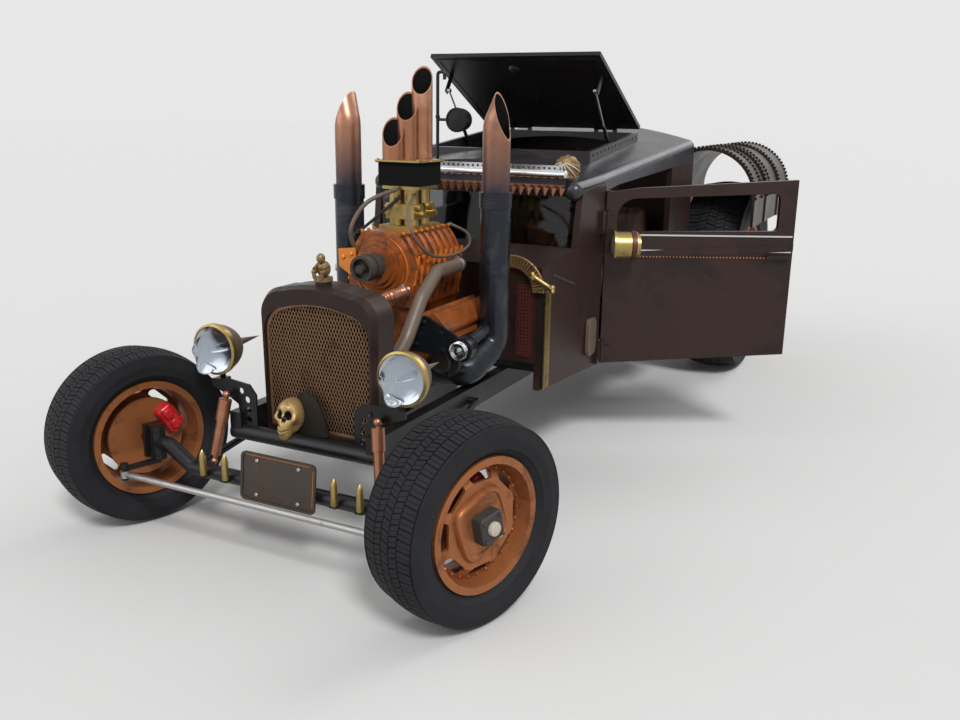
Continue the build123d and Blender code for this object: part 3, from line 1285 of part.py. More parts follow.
def chain(y):
    """A roller chain laid over the arch at y: links stand up from it one after another."""
    points = []
    for index in range(chain_links):
        for share, height in ((0.0, 2), (0.12, 11), (0.62, 11), (0.74, 2)):
            angle = radians(180) * (index + share) / chain_links
            points.append(((fender_radius + height) * cos(angle), (fender_radius + height) * sin(angle)))
    points.append((-fender_radius - 2, 0))
    place = Plane(origin=(fender_x, y + chain_width, fender_z), x_dir=(1, 0, 0), z_dir=(0, -1, 0))
    links = Polygon(*points, align=None) - Circle(fender_radius - 4)
    return extrude(place * links, chain_width)


def make_fenders(parts):
    """Barrel-topped fenders over the rear tyres, with ribbed bands and chain along their edges."""
    fender = arch(fender_radius - 8, fender_wall, fender_front, fender_rear, 150, 230)
    for y0, y1 in fender_bands:
        fender = fender + arch(fender_radius, 10, y0, y1, 150, 60)
        for y in (y0, y1 - chain_width):
            fender = fender + chain(y)
    parts["rear_fenders"] = both_sides(fender.solid())


def make_bed(parts):
    """A short bed between the fenders, open above, with a rolled top edge."""
    half = bed_half_width
    bed = block(-half, half, fender_front, fender_rear + 30, bed_floor, bed_top)
    bed = bed - block(-half + bed_wall, half - bed_wall, fender_front + bed_wall,
                      fender_rear + 30 - bed_wall, bed_floor + bed_wall, bed_top + 10)
    parts["rear_bed"] = bed
    lamps = []
    for side in (-1, 1):
        lamps.append(rod((side * 330, fender_rear + 30, 960), (side * 330, fender_rear + 70, 960), 48))
    parts["tail_lamps"] = lamps


def make_roof_lamps(parts):
    """The ribbed marker dome at the roof's left front corner and the spotlight on its hooked stalk."""
    skin_z = roof_edge_front + roof_thickness + roof_crown * 0.3
    y = roof_front_y + 60
    dome = Pos(430, y, skin_z) * (Cylinder(52, 60) + Pos(0, 0, 30) * Sphere(50))
    hook_z = spot_z + 213
    stalk = pipe([(stalk_x, y, roof_edge_front), (stalk_x, y, hook_z), (stalk_x + 36, y, hook_z),
                  (stalk_x + 36, y, hook_z - 34)], stalk_radius, 14)
    arm = rod((stalk_x, y, spot_z), (stalk_x + spot_out, y, spot_z), stalk_radius - 1)
    spot = rod((stalk_x + spot_out, y - 34, spot_z), (stalk_x + spot_out, y + 20, spot_z), spot_radius)
    spot = spot + Pos(stalk_x + spot_out, y + 4, spot_z) * Sphere(spot_radius * 0.86)
    lamps = []
    for lamp in (dome, stalk + arm + spot):
        lamps.append((lamp - parts["roof"]).solids().sort_by(SortBy.VOLUME)[-1])
    parts["roof_lamps"] = lamps


parts = {}
report = {}
make_front_wheels(parts)
make_rear_wheels(parts)
make_front_axle(parts)
make_knuckles(parts)
make_tie_rod(parts)
for make in (make_frame, make_front_shocks, make_bullets, make_number_plate, make_headlamps, make_grille,
             make_skull,
             make_cap_figure, make_engine, make_blower, make_drive, make_carburettors, make_air_box,
             make_intake_stacks, make_exhaust, make_hoses, make_cowl, make_windscreen, make_visor, make_roof,
             make_cab_rear, make_floor, make_seats, make_dashboard, make_doors, make_hatch, make_struts,
             make_combs, make_driveline, make_rear_links, make_fenders, make_bed, make_roof_lamps):
    make(parts)


def solids_of(shape):
    if isinstance(shape, (list, tuple, ShapeList)):
        return [solid for item in shape for solid in item.solids()]
    return shape.solids()


solids = {name: solids_of(shape) for name, shape in parts.items()}
box = Compound(children=[copy.copy(solid) for group in solids.values() for solid in group]).bounding_box()
shift = Vector(-(box.min.X + box.max.X) / 2, -(box.min.Y + box.max.Y) / 2, -box.min.Z)
print("shift", shift.X, shift.Y, shift.Z, "size", box.size.X, box.size.Y, box.size.Z)
for name, value in report.items():
    print(name, tuple(value) if isinstance(value, Vector) else value)
for name, group in solids.items():
    whole = Compound(children=[Pos(*shift) * solid for solid in group])
    export_step(whole, "parts/" + name + ".step")
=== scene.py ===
# Looks of the rat rod truck: finishes for every part, and the fine pieces that the solids leave out.
# Units are metres. +X is the car's left, +Y its rear and +Z is up.
import json
from math import atan, atan2, ceil, cos, exp, hypot, pi, radians, sin, tan

import bmesh
import bpy
from mathutils import Matrix, Vector

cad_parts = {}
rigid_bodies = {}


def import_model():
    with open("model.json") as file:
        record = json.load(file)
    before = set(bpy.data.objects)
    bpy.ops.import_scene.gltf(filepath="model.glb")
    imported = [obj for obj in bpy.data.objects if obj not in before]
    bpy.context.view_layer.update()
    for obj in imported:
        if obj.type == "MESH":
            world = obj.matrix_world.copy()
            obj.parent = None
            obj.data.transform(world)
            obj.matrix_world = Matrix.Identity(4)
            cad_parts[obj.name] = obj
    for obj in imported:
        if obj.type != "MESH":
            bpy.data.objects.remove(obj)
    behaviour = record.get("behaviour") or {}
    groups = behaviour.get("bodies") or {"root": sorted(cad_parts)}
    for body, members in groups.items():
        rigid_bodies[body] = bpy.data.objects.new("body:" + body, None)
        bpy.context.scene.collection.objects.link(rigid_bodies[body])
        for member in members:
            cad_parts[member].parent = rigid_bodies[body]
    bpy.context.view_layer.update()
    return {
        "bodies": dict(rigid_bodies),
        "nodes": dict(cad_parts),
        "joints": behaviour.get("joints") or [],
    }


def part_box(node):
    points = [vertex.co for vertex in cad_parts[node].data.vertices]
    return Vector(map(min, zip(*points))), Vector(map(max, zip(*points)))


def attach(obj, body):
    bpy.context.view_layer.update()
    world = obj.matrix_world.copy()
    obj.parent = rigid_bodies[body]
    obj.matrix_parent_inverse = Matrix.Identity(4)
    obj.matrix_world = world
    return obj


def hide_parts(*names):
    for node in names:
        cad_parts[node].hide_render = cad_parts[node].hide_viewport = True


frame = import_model()
scene = bpy.context.scene

corners = ("front_left", "front_right", "rear_left", "rear_right")

# Camera, as it was fitted to the photograph
picture_width = 960
focal_pixels = 935
sensor_width = 36.0
camera_place = (1.8085, -4.297, 1.570)
camera_azimuth = radians(26.5)
camera_tilt = radians(15.0)
camera_roll = radians(0.8)

# Light
sun_table = (
    # name, where it shines from, strength, width in degrees
    ("key", (3.4, -3.6, 5.4), 2.6, 14.0),
    ("fill", (-4.6, -4.2, 3.0), 0.8, 50.0),
    ("rim", (2.4, 5.2, 4.4), 0.9, 40.0),
)
world_light = 0.62
backdrop_tone = 0.80
floor_tone = 0.505
floor_size = 160
# How much of the floor tone its stains keep in red, green and blue
floor_stain = (0.97, 0.97, 0.96)

# The front axle's middle on the ground, where the car's own measures start
car_origin = Vector((-0.171844, -1.847191, 0.0))


def car(x, y, z):
    """A place in the car's own measures: left of the middle, behind the front axle, above the ground."""
    return Vector((x, y, z)) + car_origin


def at(x, y, z):
    """A frame at a place in the car's own measures."""
    return Matrix.Translation(car(x, y, z))


def shifted(x, y, z):
    return Matrix.Translation((x, y, z))


def rotation(degrees, axis):
    return Matrix.Rotation(radians(degrees), 4, axis)


def facing(x, y, z):
    """A frame at a car place whose own Z points forward."""
    return at(x, y, z) @ rotation(90, "X")


def frame_from(x_axis, y_axis, z_axis, origin):
    """A frame whose own axes point along three given directions."""
    return Matrix.Translation(origin) @ Matrix((x_axis, y_axis, z_axis)).transposed().to_4x4()


def clear_start_scene():
    """Removes whatever the empty file brought with it, and keeps the frame."""
    kept = set(frame["nodes"].values()) | set(frame["bodies"].values())
    for thing in list(bpy.data.objects):
        if thing not in kept:
            bpy.data.objects.remove(thing)


# Shader building


class Shader:
    """A material's node tree with short calls for the few nodes that the finishes use."""

    def __init__(self, name):
        self.material = bpy.data.materials.new(name)
        self.material.use_nodes = True
        self.tree = self.material.node_tree
        self.surface = self.tree.nodes["Principled BSDF"]
        self.coords = self.tree.nodes.new("ShaderNodeTexCoord").outputs["Object"]

    def link(self, source, target):
        self.tree.links.new(source, target)

    def noise(self, scale, detail, rough, distortion=0.0):
        node = self.tree.nodes.new("ShaderNodeTexNoise")
        settings = {"Scale": scale, "Detail": detail, "Roughness": rough, "Distortion": distortion}
        for name, value in settings.items():
            node.inputs[name].default_value = value
        self.link(self.coords, node.inputs["Vector"])
        return node.outputs["Fac"]

    def height(self, low, high, wobble, share):
        """0 below one height and 1 above another, with an uneven edge."""
        parts = self.tree.nodes.new("ShaderNodeSeparateXYZ")
        self.link(self.coords, parts.inputs[0])
        uneven = self.tree.nodes.new("ShaderNodeMath")
        uneven.operation = "MULTIPLY_ADD"
        self.link(wobble, uneven.inputs[0])
        uneven.inputs[1].default_value = share
        self.link(parts.outputs["Z"], uneven.inputs[2])
        return self.span(uneven.outputs[0], low + share / 2, high + share / 2)

    def span(self, value, low, high, to_low=0.0, to_high=1.0):
        node = self.tree.nodes.new("ShaderNodeMapRange")
        for index, number in enumerate((low, high, to_low, to_high)):
            node.inputs[index + 1].default_value = number
        self.link(value, node.inputs[0])
        return node.outputs[0]

    def mix(self, factor, first, second):
        node = self.tree.nodes.new("ShaderNodeMix")
        node.data_type = "RGBA"
        self.link(factor, node.inputs[0])
        for socket, colour in ((node.inputs[6], first), (node.inputs[7], second)):
            if isinstance(colour, tuple):
                socket.default_value = (*colour, 1.0)
            else:
                self.link(colour, socket)
        return node.outputs[2]

    def colour(self, source):
        self.link(source, self.surface.inputs["Base Color"])

    def rough(self, source, low, high):
        self.link(self.span(source, 0.3, 0.7, low, high), self.surface.inputs["Roughness"])

    def bump(self, height, distance, strength):
        node = self.tree.nodes.new("ShaderNodeBump")
        node.inputs["Strength"].default_value = strength
        node.inputs["Distance"].default_value = distance
        self.link(height, node.inputs["Height"])
        self.link(node.outputs["Normal"], self.surface.inputs["Normal"])

    def set(self, **values):
        for name, value in values.items():
            self.surface.inputs[name.replace("_", " ")].default_value = value


# Finishes

plain_specular = 0.5
worn_table = (
    # name, base, stain and fleck colours,
    # stain share, fleck share, least and most rough, metallic, bump, patch size, grain size, specular
    ("body", (0.030, 0.016, 0.0135), (0.014, 0.009, 0.009), (0.085, 0.036, 0.022),
     0.60, 0.26, 0.24, 0.42, 0.25, 0.0005, 3.2, 60.0, 0.30),
    # The roof's lighter blue-grey is painted sheen, the sky's reflection on the dark paint.
    ("roof", (0.038, 0.036, 0.042), (0.090, 0.070, 0.062), (0.12, 0.065, 0.042),
     0.5, 0.25, 0.22, 0.40, 0.5, 0.0005, 3.6, 60.0, plain_specular),
    ("shell", (0.020, 0.011, 0.009), (0.038, 0.019, 0.013), (0.075, 0.032, 0.018),
     0.6, 0.22, 0.28, 0.48, 0.25, 0.0005, 7.0, 60.0, 0.28),
    ("mesh", (0.30, 0.175, 0.095), (0.17, 0.085, 0.045), (0.42, 0.28, 0.17),
     0.5, 0.4, 0.40, 0.60, 0.7, 0.0003, 9.0, 160.0, plain_specular),
    ("black", (0.007, 0.007, 0.008), (0.015, 0.012, 0.011), (0.04, 0.024, 0.016),
     0.4, 0.15, 0.22, 0.45, 0.0, 0.0004, 6.0, 120.0, 0.30),
    ("copper", (0.34, 0.15, 0.085), (0.46, 0.24, 0.15), (0.20, 0.085, 0.045),
     0.6, 0.3, 0.26, 0.44, 0.85, 0.0003, 6.0, 70.0, plain_specular),
    ("wheel", (0.31, 0.108, 0.036), (0.120, 0.040, 0.018), (0.46, 0.20, 0.075),
     0.62, 0.42, 0.30, 0.52, 0.55, 0.0006, 9.0, 110.0, plain_specular),
    ("engine", (0.36, 0.098, 0.018), (0.115, 0.036, 0.014), (0.035, 0.018, 0.012),
     0.85, 0.55, 0.26, 0.55, 0.4, 0.0009, 12.0, 80.0, plain_specular),
    ("brass", (0.38, 0.275, 0.10), (0.20, 0.13, 0.05), (0.55, 0.44, 0.20),
     0.5, 0.3, 0.25, 0.45, 0.9, 0.0003, 14.0, 120.0, plain_specular),
    ("bone", (0.20, 0.125, 0.050), (0.055, 0.030, 0.015), (0.34, 0.24, 0.11),
     0.6, 0.5, 0.35, 0.6, 0.6, 0.0006, 22.0, 150.0, plain_specular),
    ("steel", (0.36, 0.35, 0.34), (0.22, 0.20, 0.18), (0.12, 0.07, 0.04),
     0.4, 0.15, 0.28, 0.5, 0.9, 0.0002, 12.0, 160.0, plain_specular),
    ("polished", (0.66, 0.67, 0.68), (0.52, 0.52, 0.52), (0.35, 0.31, 0.27),
     0.3, 0.08, 0.14, 0.3, 1.0, 0.0002, 10.0, 120.0, plain_specular),
    ("cast", (0.040, 0.036, 0.034), (0.065, 0.045, 0.032), (0.10, 0.05, 0.025),
     0.5, 0.3, 0.55, 0.75, 0.3, 0.0008, 8.0, 110.0, plain_specular),
    ("red", (0.42, 0.006, 0.010), (0.28, 0.005, 0.008), (0.50, 0.02, 0.02),
     0.3, 0.1, 0.25, 0.4, 0.0, 0.0003, 20.0, 120.0, plain_specular),
    ("plate", (0.040, 0.028, 0.020), (0.075, 0.045, 0.026), (0.15, 0.07, 0.03),
     0.5, 0.3, 0.45, 0.65, 0.3, 0.0004, 18.0, 150.0, plain_specular),
    ("leather", (0.055, 0.026, 0.016), (0.035, 0.018, 0.012), (0.085, 0.042, 0.025),
     0.5, 0.3, 0.45, 0.65, 0.0, 0.0009, 12.0, 160.0, plain_specular),
    ("tail", (0.40, 0.006, 0.006), (0.30, 0.004, 0.004), (0.5, 0.03, 0.03),
     0.3, 0.1, 0.12, 0.25, 0.0, 0.0004, 20.0, 60.0, plain_specular),
    ("stack", (0.017, 0.020, 0.027), (0.050, 0.050, 0.058), (0.075, 0.045, 0.03),
     0.6, 0.25, 0.16, 0.36, 0.6, 0.0007, 7.0, 70.0, plain_specular),
    ("hose", (0.105, 0.075, 0.055), (0.062, 0.045, 0.036), (0.16, 0.11, 0.08),
     0.5, 0.3, 0.40, 0.58, 0.1, 0.0005, 10.0, 120.0, plain_specular),
    ("rust", (0.30, 0.095, 0.035), (0.15, 0.048, 0.022), (0.42, 0.17, 0.07),
     0.55, 0.5, 0.45, 0.7, 0.35, 0.0007, 9.0, 90.0, plain_specular),
    ("soot", (0.006, 0.006, 0.006), (0.012, 0.011, 0.010), (0.02, 0.016, 0.013),
     0.4, 0.2, 0.75, 0.9, 0.0, 0.0003, 12.0, 90.0, 0.06),
    ("pale", (0.42, 0.38, 0.30), (0.24, 0.19, 0.13), (0.60, 0.56, 0.48),
     0.5, 0.3, 0.3, 0.5, 0.1, 0.0005, 22.0, 140.0, plain_specular),
    ("reflector", (0.46, 0.49, 0.53), (0.36, 0.38, 0.42), (0.30, 0.30, 0.30),
     0.3, 0.04, 0.10, 0.22, 1.0, 0.0001, 10.0, 90.0, plain_specular),
    ("skull", (0.40, 0.27, 0.105), (0.20, 0.11, 0.045), (0.56, 0.44, 0.22),
     0.55, 0.45, 0.30, 0.5, 0.55, 0.0004, 26.0, 190.0, plain_specular),
    # Near-black arch behind the skull: painted shade.
    ("shade_hood", (0.012, 0.010, 0.007), (0.007, 0.006, 0.005), (0.030, 0.022, 0.014),
     0.5, 0.3, 0.55, 0.8, 0.0, 0.0006, 16.0, 110.0, 0.15),
    # A brighter copy of the engine's orange: painted highlight on the blower's ridges and bolts, the front
    # bracket and the plate's edge.
    ("lit_orange_paint", (0.62, 0.20, 0.030), (0.40, 0.12, 0.022), (0.22, 0.07, 0.02),
     0.5, 0.4, 0.22, 0.45, 0.5, 0.0006, 14.0, 100.0, plain_specular),
    ("oxide", (0.085, 0.016, 0.012), (0.040, 0.010, 0.009), (0.15, 0.04, 0.025),
     0.5, 0.3, 0.4, 0.6, 0.3, 0.0005, 12.0, 110.0, plain_specular),
)
graded_table = (
    # name, heights between which it changes, metallic, upper colour and stain,
    # lower colour and stain, fleck
    ("burnt_copper", 1.26, 1.50, 0.7, (0.38, 0.19, 0.115), (0.25, 0.12, 0.075),
     (0.030, 0.028, 0.040), (0.075, 0.048, 0.055), (0.12, 0.06, 0.04)),
    # The engine block's dark lower part is painted shade.
    ("shaded_engine_block", 0.56, 0.78, 0.35, (0.37, 0.10, 0.018), (0.13, 0.04, 0.014),
     (0.016, 0.011, 0.009), (0.045, 0.022, 0.013), (0.03, 0.016, 0.011)),
)
rubber_table = (
    # name, clean and dusty colours; the tread's pair is painted sunlight, much lighter than the black rubber
    ("tyre", (0.009, 0.009, 0.011), (0.016, 0.016, 0.018)),
    ("tread", (0.125, 0.125, 0.127), (0.24, 0.235, 0.225)),
)
glass_table = (
    # name, tint, index of refraction, roughness
    ("lens", (0.93, 0.95, 0.97), 1.13, 0.02),
    ("pane", (0.13, 0.14, 0.15), 1.45, 0.01),
)
nodes_of_finish = {
    "body": "cowl cab_rear dashboard rear_bed door_left door_right",
    "roof": "roof",
    "shell": "grille_shell rear_fenders",
    "mesh": "grille_mesh",
    "black": "frame front_axle cowl_trim cab_floor rear_axle roof_hatch strut_tubes "
             "knuckle_left knuckle_right",
    "copper": "front_shocks intake_stacks engine_hoses",
    "wheel": "wheel_front_left wheel_front_right wheel_rear_left wheel_rear_right",
    "engine": "blower",
    "shaded_engine_block": "engine",
    "brass": "headlamp_rings axle_bullets carburettors door_lamp_left door_lamp_right",
    "bone": "skull_ornament cap_figure roof_lamps",
    "steel": "strut_rods tie_rod",
    "polished": "visor",
    "cast": "pulleys driveline",
    "red": "caliper_left caliper_right",
    "plate": "number_plate",
    "leather": "seats",
    "tail": "tail_lamps",
    "stack": "exhaust_stacks",
    "hose": "headlamp_shells",
    "soot": "radiator air_box",
    "burnt_copper": "exhaust_tips",
    "tyre": "tyre_front_left tyre_front_right tyre_rear_left tyre_rear_right",
    "lens": "headlamp_lenses",
    "pane": "windscreen",
}


def worn_metal(name, base, stain, fleck, stain_share, fleck_share, least, most, metallic, bump, patch, grain,
               specular):
    """Old paint or bare metal: a base colour, broad stains and small rusty flecks."""
    s = Shader(name)
    broad = s.noise(patch, 8.0, 0.68, 0.6)
    fine = s.noise(grain, 6.0, 0.7)
    stains = s.span(broad, 0.72 - 0.34 * stain_share, 0.80 - 0.20 * stain_share)
    flecks = s.span(fine, 0.74 - 0.3 * fleck_share, 0.80 - 0.2 * fleck_share)
    s.colour(s.mix(flecks, s.mix(stains, base, stain), fleck))
    s.rough(broad, least, most)
    s.bump(fine, bump, 0.6)
    s.set(Metallic=metallic, Specular_IOR_Level=specular)
    return s.material


def graded_metal(name, low, high, metallic, upper, upper_stain, lower, lower_stain, fleck):
    """Metal whose lower part is darker, with an uneven edge between two heights: burnt on the exhaust tips,
    painted shade on the engine block.
    """
    s = Shader(name)
    broad = s.noise(6.0, 7.0, 0.65, 0.5)
    fine = s.noise(80.0, 5.0, 0.7)
    stains = s.span(broad, 0.42, 0.60)
    below = s.mix(stains, lower, lower_stain)
    above = s.mix(stains, upper, upper_stain)
    s.colour(s.mix(s.span(fine, 0.62, 0.72), s.mix(s.height(low, high, broad, 0.10), below, above), fleck))
    s.rough(broad, 0.26, 0.48)
    s.bump(fine, 0.0006, 0.6)
    s.set(Metallic=metallic)
    return s.material


def rubber(name, clean, dusty):
    s = Shader(name)
    dust = s.noise(9.0, 6.0, 0.7)
    s.colour(s.mix(s.span(dust, 0.4, 0.75), clean, dusty))
    s.rough(dust, 0.62, 0.82)
    s.bump(s.noise(240.0, 3.0, 0.6), 0.0004, 0.5)
    s.set(Specular_IOR_Level=0.22)
    return s.material


def clear_glass(name, tint, index, roughness):
    s = Shader(name)
    s.rough(s.noise(7.0, 3.0, 0.5), roughness, roughness + 0.06)
    s.set(Base_Color=(*tint, 1.0), Transmission_Weight=1.0, IOR=index)
    return s.material


def make_finishes():
    """Every finish by name."""
    made = {}
    for table, maker in ((worn_table, worn_metal), (graded_table, graded_metal), (rubber_table, rubber),
                         (glass_table, clear_glass)):
        for name, *values in table:
            made[name] = maker(name + "_finish", *values)
    return made


def dress(thing, finish):
    """Gives a piece one finish over its whole surface."""
    thing.data.materials.clear()
    thing.data.materials.append(finish)


# Camera and studio


def make_camera():
    forward = Vector((-sin(camera_azimuth) * cos(camera_tilt), cos(camera_azimuth) * cos(camera_tilt),
                      -sin(camera_tilt)))
    level = Vector((cos(camera_azimuth), sin(camera_azimuth), 0.0))
    upward = level.cross(forward)
    right = level * cos(camera_roll) + upward * sin(camera_roll)
    up = upward * cos(camera_roll) - level * sin(camera_roll)
    data = bpy.data.cameras.new("camera")
    data.sensor_fit = "HORIZONTAL"
    data.sensor_width = sensor_width
    data.lens = focal_pixels / picture_width * sensor_width
    camera = bpy.data.objects.new("camera", data)
    camera.matrix_world = frame_from(right, up, -forward, camera_place)
    scene.collection.objects.link(camera)
    scene.camera = camera


def make_suns():
    for name, place, strength, width in sun_table:
        data = bpy.data.lights.new(name, "SUN")
        data.energy = strength
        data.angle = radians(width)
        lamp = bpy.data.objects.new(name, data)
        lamp.location = place
        lamp.rotation_euler = (-Vector(place)).to_track_quat("-Z", "Y").to_euler()
        scene.collection.objects.link(lamp)


def make_world():
    """An even sky that looks paler to the camera, in mirrors and through glass than it shines."""
    world = bpy.data.worlds.new("pale_world")
    world.use_nodes = True
    tree = world.node_tree
    background = tree.nodes["Background"]
    background.inputs["Color"].default_value = (1.0, 1.0, 1.0, 1.0)
    path = tree.nodes.new("ShaderNodeLightPath")
    seen = path.outputs["Is Camera Ray"]
    for other in ("Is Glossy Ray", "Is Transmission Ray"):
        more = tree.nodes.new("ShaderNodeMath")
        more.operation = "MAXIMUM"
        tree.links.new(seen, more.inputs[0])
        tree.links.new(path.outputs[other], more.inputs[1])
        seen = more.outputs[0]
    strength = tree.nodes.new("ShaderNodeMapRange")
    strength.inputs["To Min"].default_value = world_light
    strength.inputs["To Max"].default_value = backdrop_tone
    tree.links.new(seen, strength.inputs["Value"])
    tree.links.new(strength.outputs[0], background.inputs["Strength"])
    scene.world = world


def make_floor():
    bpy.ops.mesh.primitive_plane_add(size=floor_size, location=(0, 0, 0))
    floor = bpy.context.object
    floor.name = "studio_floor"
    s = Shader("floor_finish")
    stained = tuple(floor_tone * share for share in floor_stain)
    s.colour(s.mix(s.noise(3.0, 5.0, 0.6), (floor_tone,) * 3, stained))
    s.set(Roughness=0.95)
    dress(floor, s.material)


# Mesh building

crisp_angle = 35.0


def quads(rings, count, flip=False, round_rings=False, round_points=True):
    """Faces that join rings of equally many points."""
    faces = []
    for ring in range(rings if round_rings else rings - 1):
        a, b = ring * count, (ring + 1) % rings * count
        for i in range(count if round_points else count - 1):
            j = (i + 1) % count
            faces.append((a + i, b + i, b + j, a + j) if flip else (a + i, a + j, b + j, b + i))
    return faces


def caps(rings, count):
    """The faces that close the first and the last ring."""
    return [tuple(range(count))[::-1], tuple(range((rings - 1) * count, rings * count))]


def pierced(count):
    """Faces of a plate with a hole, from four rings: each side's two lines, in the same order."""
    return [(a * count + i, a * count + (i + 1) % count, b * count + (i + 1) % count, b * count + i)
            for i in range(count) for a, b in ((0, 1), (3, 2), (2, 0), (1, 3))]


class Build:
    """Collects vertices and faces of many simple forms into one mesh."""

    def __init__(self):
        self.verts = []
        self.faces = []

    def add(self, verts, faces, place=None):
        start = len(self.verts)
        self.verts.extend(place @ Vector(v) if place else Vector(v) for v in verts)
        self.faces.extend(tuple(index + start for index in face) for face in faces)

    def lathe(self, profile, steps, place):
        """Turns (radius, height) points about the place's own Z."""
        verts = []
        for step in range(steps):
            angle = 2 * pi * step / steps
            verts.extend((radius * cos(angle), radius * sin(angle), height) for radius, height in profile)
        self.add(verts, quads(steps, len(profile), flip=True, round_rings=True, round_points=False), place)

    def tube(self, points, radius, steps):
        """A round bar along close-set points, its rings kept from twisting."""
        points = [Vector(p) for p in points]
        count = len(points)
        verts = []
        normal = None
        for index, point in enumerate(points):
            before = points[index - 1] if index else point
            after = points[index + 1] if index < count - 1 else point
            along = (after - before).normalized()
            if normal is None:
                normal = along.orthogonal().normalized()
            normal = (normal - along * normal.dot(along)).normalized()
            side = along.cross(normal)
            size = radius(index / max(count - 1, 1)) if callable(radius) else radius
            for step in range(steps):
                angle = 2 * pi * step / steps
                verts.append(point + (normal * cos(angle) + side * sin(angle)) * size)
        self.add(verts, quads(count, steps) + caps(count, steps))

    def bar(self, start, end, width, depth, normal):
        """A straight bar of oblong section from one point to another."""
        start, end, normal = Vector(start), Vector(end), Vector(normal).normalized()
        along = (end - start).normalized()
        side = along.cross(normal).normalized() * width / 2
        up = normal * depth / 2
        ends = [p + i * side + j * up for p in (start, end) for i, j in ((-1, -1), (1, -1), (1, 1), (-1, 1))]
        self.add(ends, [(0, 1, 2, 3), (7, 6, 5, 4), (0, 4, 5, 1), (1, 5, 6, 2), (2, 6, 7, 3), (3, 7, 4, 0)])

    def bolt(self, place, radius, height, sides=6):
        """A bolt head with a slightly domed end, standing along the place's own Z."""
        head = [(radius, 0.0), (radius, height * 0.8), (radius * 0.8, height), (0.0, height * 1.08)]
        self.lathe(head, sides, place)

    def plate(self, outline, front, back):
        """A flat plate across the car, from (x, z) points and the Y of its two faces."""
        count = len(outline)
        verts = [car(x, y, z) for y in (front, back) for x, z in outline]
        sides = [(i, i + count, (i + 1) % count + count, (i + 1) % count) for i in range(count)]
        self.add(verts, [tuple(range(count)), tuple(range(2 * count - 1, count - 1, -1))] + sides)

    def soft_square(self, rings, power, turn, place, steps=48):
        """A form along the place's own X whose (x, half size) rings are squares with soft corners."""
        verts = [(x, y, z) for x, half in rings for y, z in rounded_square(half, power, turn, steps)]
        self.add(verts, quads(len(rings), steps) + caps(len(rings), steps)[1:], place)

    def perforated(self, place, columns, rows, pitch, hole):
        """A thin plate in the place's own XY plane with a grid of round holes."""
        sides, thickness = 12, 0.002
        for column in range(columns):
            for row in range(rows):
                x, y = (column + 0.5) * pitch, (row + 0.5) * pitch
                verts = []
                for z in (0.0, thickness):
                    for inner in (True, False):
                        for i in range(sides):
                            angle = 2 * pi * i / sides + pi / sides
                            reach = hole if inner else pitch / 2 / max(abs(cos(angle)), abs(sin(angle)))
                            verts.append((x + reach * cos(angle), y + reach * sin(angle), z))
                self.add(verts, pierced(sides), place)

    def piece(self, name, finish, slot, body="chassis", stands_for=None, crisp=crisp_angle):
        """Makes the piece on its body. Edges over the crisp angle stay sharp, and None keeps it flat."""
        mesh = bpy.data.meshes.new(name)
        mesh.from_pydata([tuple(v) for v in self.verts], [], self.faces)
        mesh.validate()
        if crisp:
            mesh.shade_smooth()
        thing = bpy.data.objects.new(name, mesh)
        scene.collection.objects.link(thing)
        mesh.materials.append(finishes[finish])
        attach(thing, body)
        if crisp:
            mesh.set_sharp_from_angle(angle=radians(crisp))
        if stands_for:
            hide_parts(stands_for)
        return thing


def second_finish(thing, finish, chosen):
    """Gives the faces that a test picks another finish."""
    thing.data.materials.append(finishes[finish])
    for face in thing.data.polygons:
        if chosen(face):
            face.material_index = 1


def rounded_square(half, power, turn, steps):
    """Points of a square with soft corners, turned in its plane."""
    points = []
    for step in range(steps):
        angle = 2 * pi * step / steps
        reach = half / (abs(cos(angle)) ** power + abs(sin(angle)) ** power) ** (1 / power)
        points.append((reach * cos(angle + turn), reach * sin(angle + turn)))
    return points


def arc_points(first, middle, last, steps):
    """Points on the circle through three points of a plane, from the first to the last."""
    (ax, ay), (bx, by), (cx, cy) = first, middle, last
    a, b, c = ax * ax + ay * ay, bx * bx + by * by, cx * cx + cy * cy
    d = 2 * (ax * (by - cy) + bx * (cy - ay) + cx * (ay - by))
    ux = (a * (by - cy) + b * (cy - ay) + c * (ay - by)) / d
    uy = (a * (cx - bx) + b * (ax - cx) + c * (bx - ax)) / d
    radius = hypot(ax - ux, ay - uy)
    start, mid, end = (atan2(y - uy, x - ux) for x, y in (first, middle, last))
    sweep = (end - start) % (2 * pi)
    if (mid - start) % (2 * pi) > sweep:
        sweep -= 2 * pi
    return [(ux + radius * cos(start + sweep * i / steps), uy + radius * sin(start + sweep * i / steps))
            for i in range(steps + 1)]


def smooth_path(points, per_run):
    """Close-set points on a smooth curve through given ones."""
    ends = [points[0] * 2 - points[1]] + points + [points[-1] * 2 - points[-2]]
    path = []
    for index in range(1, len(ends) - 2):
        a, b, c, d = ends[index - 1:index + 3]
        for step in range(per_run):
            t = step / per_run
            path.append(0.5 * ((2 * b) + (c - a) * t + (2 * a - 5 * b + 4 * c - d) * t * t
                               + (3 * b - a - 3 * c + d) * t ** 3))
    return path + [points[-1]]


def bent(points, radius, steps=8):
    """A line through corner points, each corner rounded off."""
    path = [points[0]]
    for before, corner, after in zip(points, points[1:], points[2:]):
        back, on = before - corner, after - corner
        trim = min(radius / tan(back.angle(on) / 2), back.length * 0.48, on.length * 0.48)
        start, end = corner + back.normalized() * trim, corner + on.normalized() * trim
        for step in range(steps + 1):
            t = step / steps
            path.append(start * (1 - t) ** 2 + corner * 2 * t * (1 - t) + end * t ** 2)
    return path + [points[-1]]


